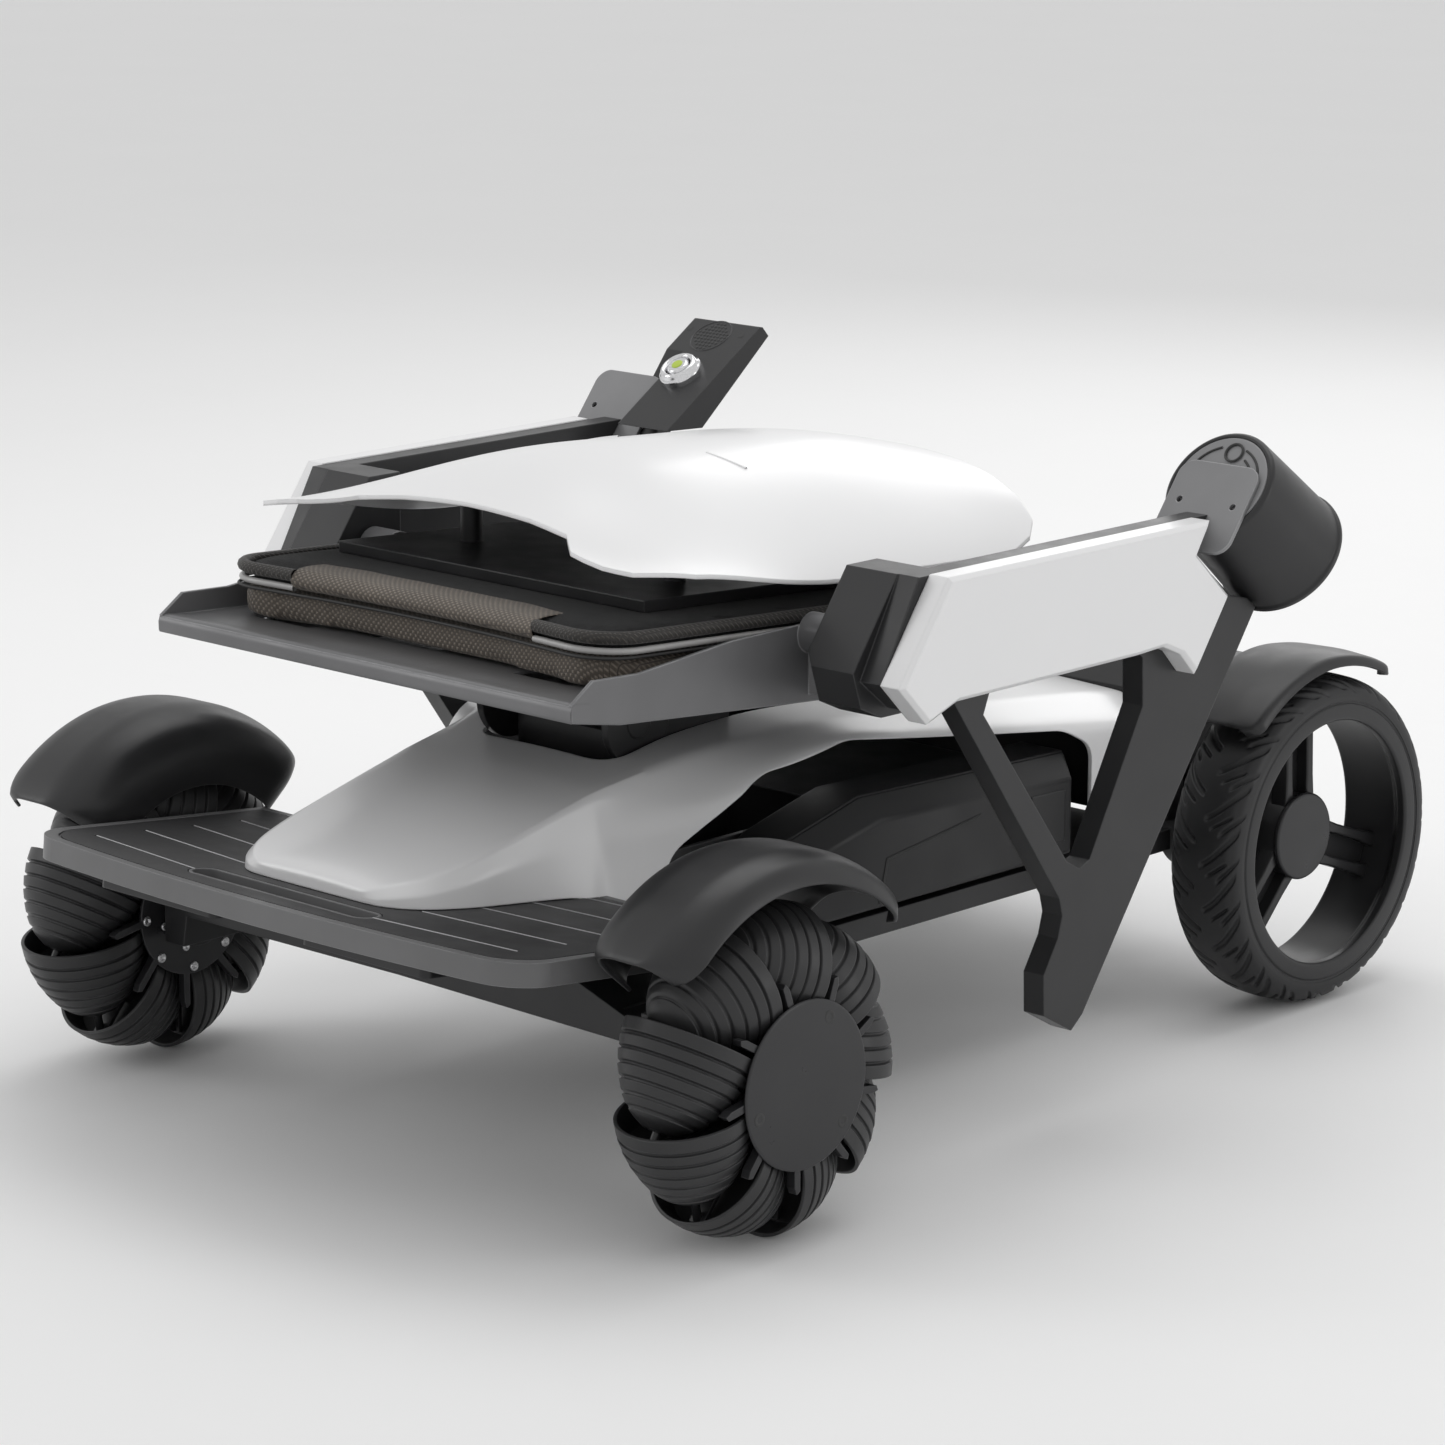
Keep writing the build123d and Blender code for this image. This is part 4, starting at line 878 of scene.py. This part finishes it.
def on_slab(x, s, off):
    """Point on the controller's face plane, same convention."""
    y = 150 + s * math.cos(SLAB_TILT) - off * math.sin(SLAB_TILT)
    z = 413 + s * math.sin(SLAB_TILT) + off * math.cos(SLAB_TILT)
    return Vector((x / 1000, y / 1000 + D, z / 1000))


CUP_DOWN, CUP_UP = Vector((0, math.sin(TILT), -math.cos(TILT))), Vector((0, math.cos(TILT), math.sin(TILT)))
cup_base = on_bracket(291.5, 16.6, -3.0)
cup_profile = rounded([(0.004, 0.0), (0.004, 0.0400), (0.0955, 0.0402), (0.0970, 0.0440),
                       (0.0966, 0.0480), (0.0925, 0.0484),
                       (0.0915, 0.0466), (0.050, 0.0451), (0.002, 0.0432), (0.0, 0.0410), (0.0, 0.0392),
                           (0.0012, 0.0386),
                       (0.0012, 0.0)], 0.0012)
cup = piece("cup_shell", *lathe(cup_profile, cup_base, CUP_DOWN, CUP_UP, 128), "arm_left", "dark_plastic",
            replaces=("cup_holder",))
fix_normals(cup)
dish = rounded([(0.0011, 0.0384), (0.0004, 0.0382), (0.0002, 0.0372), (0.0002, 0.0)], 0.0004)
piece("cup_bottom_plate", *lathe(dish, cup_base, CUP_DOWN, CUP_UP, 96), "arm_left", "bracket_grey")
drain = on_bracket(292.9, 42.7, -2.7)
piece("cup_drain", *lathe([(-0.0006, 0.0078), (-0.0012, 0.0070), (-0.0006, 0.0060), (0.002, 0.0058),
                           (0.002, 0)], drain, CUP_DOWN,
                          CUP_UP, 40), "arm_left", "rubber_black")
for count, (radius, start, stop) in enumerate(((0.031, 20, 150), (0.025, 30, 140), (0.031, 200, 340))):
    arc = [cup_base - CUP_DOWN * 0.0000
           + (CUP_UP * math.cos(math.radians(a)) + Vector((1, 0, 0)) * math.sin(math.radians(a))) * radius
           for a in np.linspace(start, stop, 24)]
    tube(f"cup_slit_{count}", arc, 0.0009, "arm_left", "rubber_black")

face_up = Vector((0, -math.sin(SLAB_TILT), math.cos(SLAB_TILT)))
along = Vector((0, math.cos(SLAB_TILT), math.sin(SLAB_TILT)))
for row in range(-4, 5):
    for col in range(-4, 5):
        if row * row + col * col > 17:
            continue
        spot = on_slab(-241 + col * 3.6, 108 + row * 3.6, 0.0)
        piece(f"speaker_dot_{row + 4}_{col + 4}",
              *lathe([(0.0001, 0.0013), (0.0004, 0.0012), (0.0005, 0.0)], spot, face_up, along, 10),
              "arm_right", "rubber_black")
grille = rounded([(0.0, 0.0182), (0.0006, 0.0178), (0.0006, 0.0170), (0.0, 0.0166)], 0.0003)
piece("speaker_rim", *lathe(grille, on_slab(-241, 108, 0.0), face_up, along, 64), "arm_right",
      "dark_plastic")
ring = rounded([(0.0, 0.0176), (0.0045, 0.0174), (0.0060, 0.0160), (0.0090, 0.0142), (0.0098, 0.0128),
                (0.0090, 0.0108),
                (0.0044, 0.0094)], 0.0012)
piece("button_ring", *lathe(ring, on_slab(-236, 63, 0.0), face_up, along, 72), "arm_right", "chrome")
key = rounded([(-0.0012, 0.0088), (0.0080, 0.0088), (0.0096, 0.0076), (0.0100, 0.0)], 0.0010)
piece("button_cap", *lathe(key, on_slab(-236, 63, 0.0), face_up, along, 64), "release_button", "chrome",
      replaces=("release_button",))
dot = rounded([(0.0098, 0.0046), (0.0104, 0.0042), (0.0105, 0.0)], 0.0004)
piece("button_dot", *lathe(dot, on_slab(-236, 63, 0.0), face_up, along, 40), "release_button", "chrome",
      paint="dot_green")
for count, (x, s) in enumerate(((-268, 113.5), (-213, 113.2))):
    oval = [(0.0002, 0.0030), (0.00025, 0.0)]
    piece(f"slab_hole_{count}", *lathe(oval, on_slab(x, s, 0.0), face_up, along, 24), "arm_right",
          "rubber_black")

# ---------------------------------------------------------------------------
# Stage: floor, lights, camera
# ---------------------------------------------------------------------------
world = bpy.data.worlds.new("studio")
bpy.context.scene.world = world
world.use_nodes = True
world.node_tree.nodes["Background"].inputs["Color"].default_value = (1.0, 1.0, 1.0, 1.0)
world.node_tree.nodes["Background"].inputs["Strength"].default_value = 0.74

bpy.ops.mesh.primitive_plane_add(size=60, location=(0, 0, -0.0005))
floor = bpy.context.object
floor.name = "studio_floor"
paper = Tree("paper")
floor.data.materials.append(paper.out(paper.mix(paper.noise(3.0), (0.86, 0.86, 0.86), (0.88, 0.88, 0.88)),
                                      paper.ramp(paper.noise(40.0), 0.3, 0.7, 0.75, 0.9)))


def area(name, place, target, size, watts, shape="RECTANGLE"):
    """Soft box aimed at a point."""
    light = bpy.data.lights.new(name, "AREA")
    light.shape, light.size, light.size_y, light.energy = shape, size[0], size[1], watts
    lamp = bpy.data.objects.new(name, light)
    bpy.context.collection.objects.link(lamp)
    lamp.location = place
    lamp.rotation_euler = (Vector(target) - Vector(place)).to_track_quat("-Z", "Y").to_euler()


area("soft_top", (-0.3, 0.8, 2.6), (0, 0, 0.2), (2.2, 1.6), 17)
area("soft_left", (-2.6, -2.2, 1.6), (0, 0, 0.25), (1.2, 1.6), 15)
area("soft_right", (3.0, 1.4, 1.0), (0, 0.1, 0.25), (0.8, 1.6), 10)
area("soft_back", (-1.2, 3.0, 1.6), (0, 0, 0.3), (2.0, 1.2), 12)

camera = bpy.data.objects.new("camera", bpy.data.cameras.new("camera"))
bpy.context.collection.objects.link(camera)
AZ, EL = math.radians(43.727), math.radians(13.250)
camera.location = (2.3007, -2.4041 + D, 1.0273)
sight = Vector((-math.sin(AZ) * math.cos(EL), math.cos(AZ) * math.cos(EL), -math.sin(EL)))
camera.rotation_euler = sight.to_track_quat("-Z", "Y").to_euler()
camera.data.lens, camera.data.sensor_width = 118.43, 36.0
camera.data.clip_end = 100.0
bpy.context.scene.camera = camera
bpy.context.scene.view_settings.view_transform = "Standard"
bpy.context.scene.view_settings.look = "None"
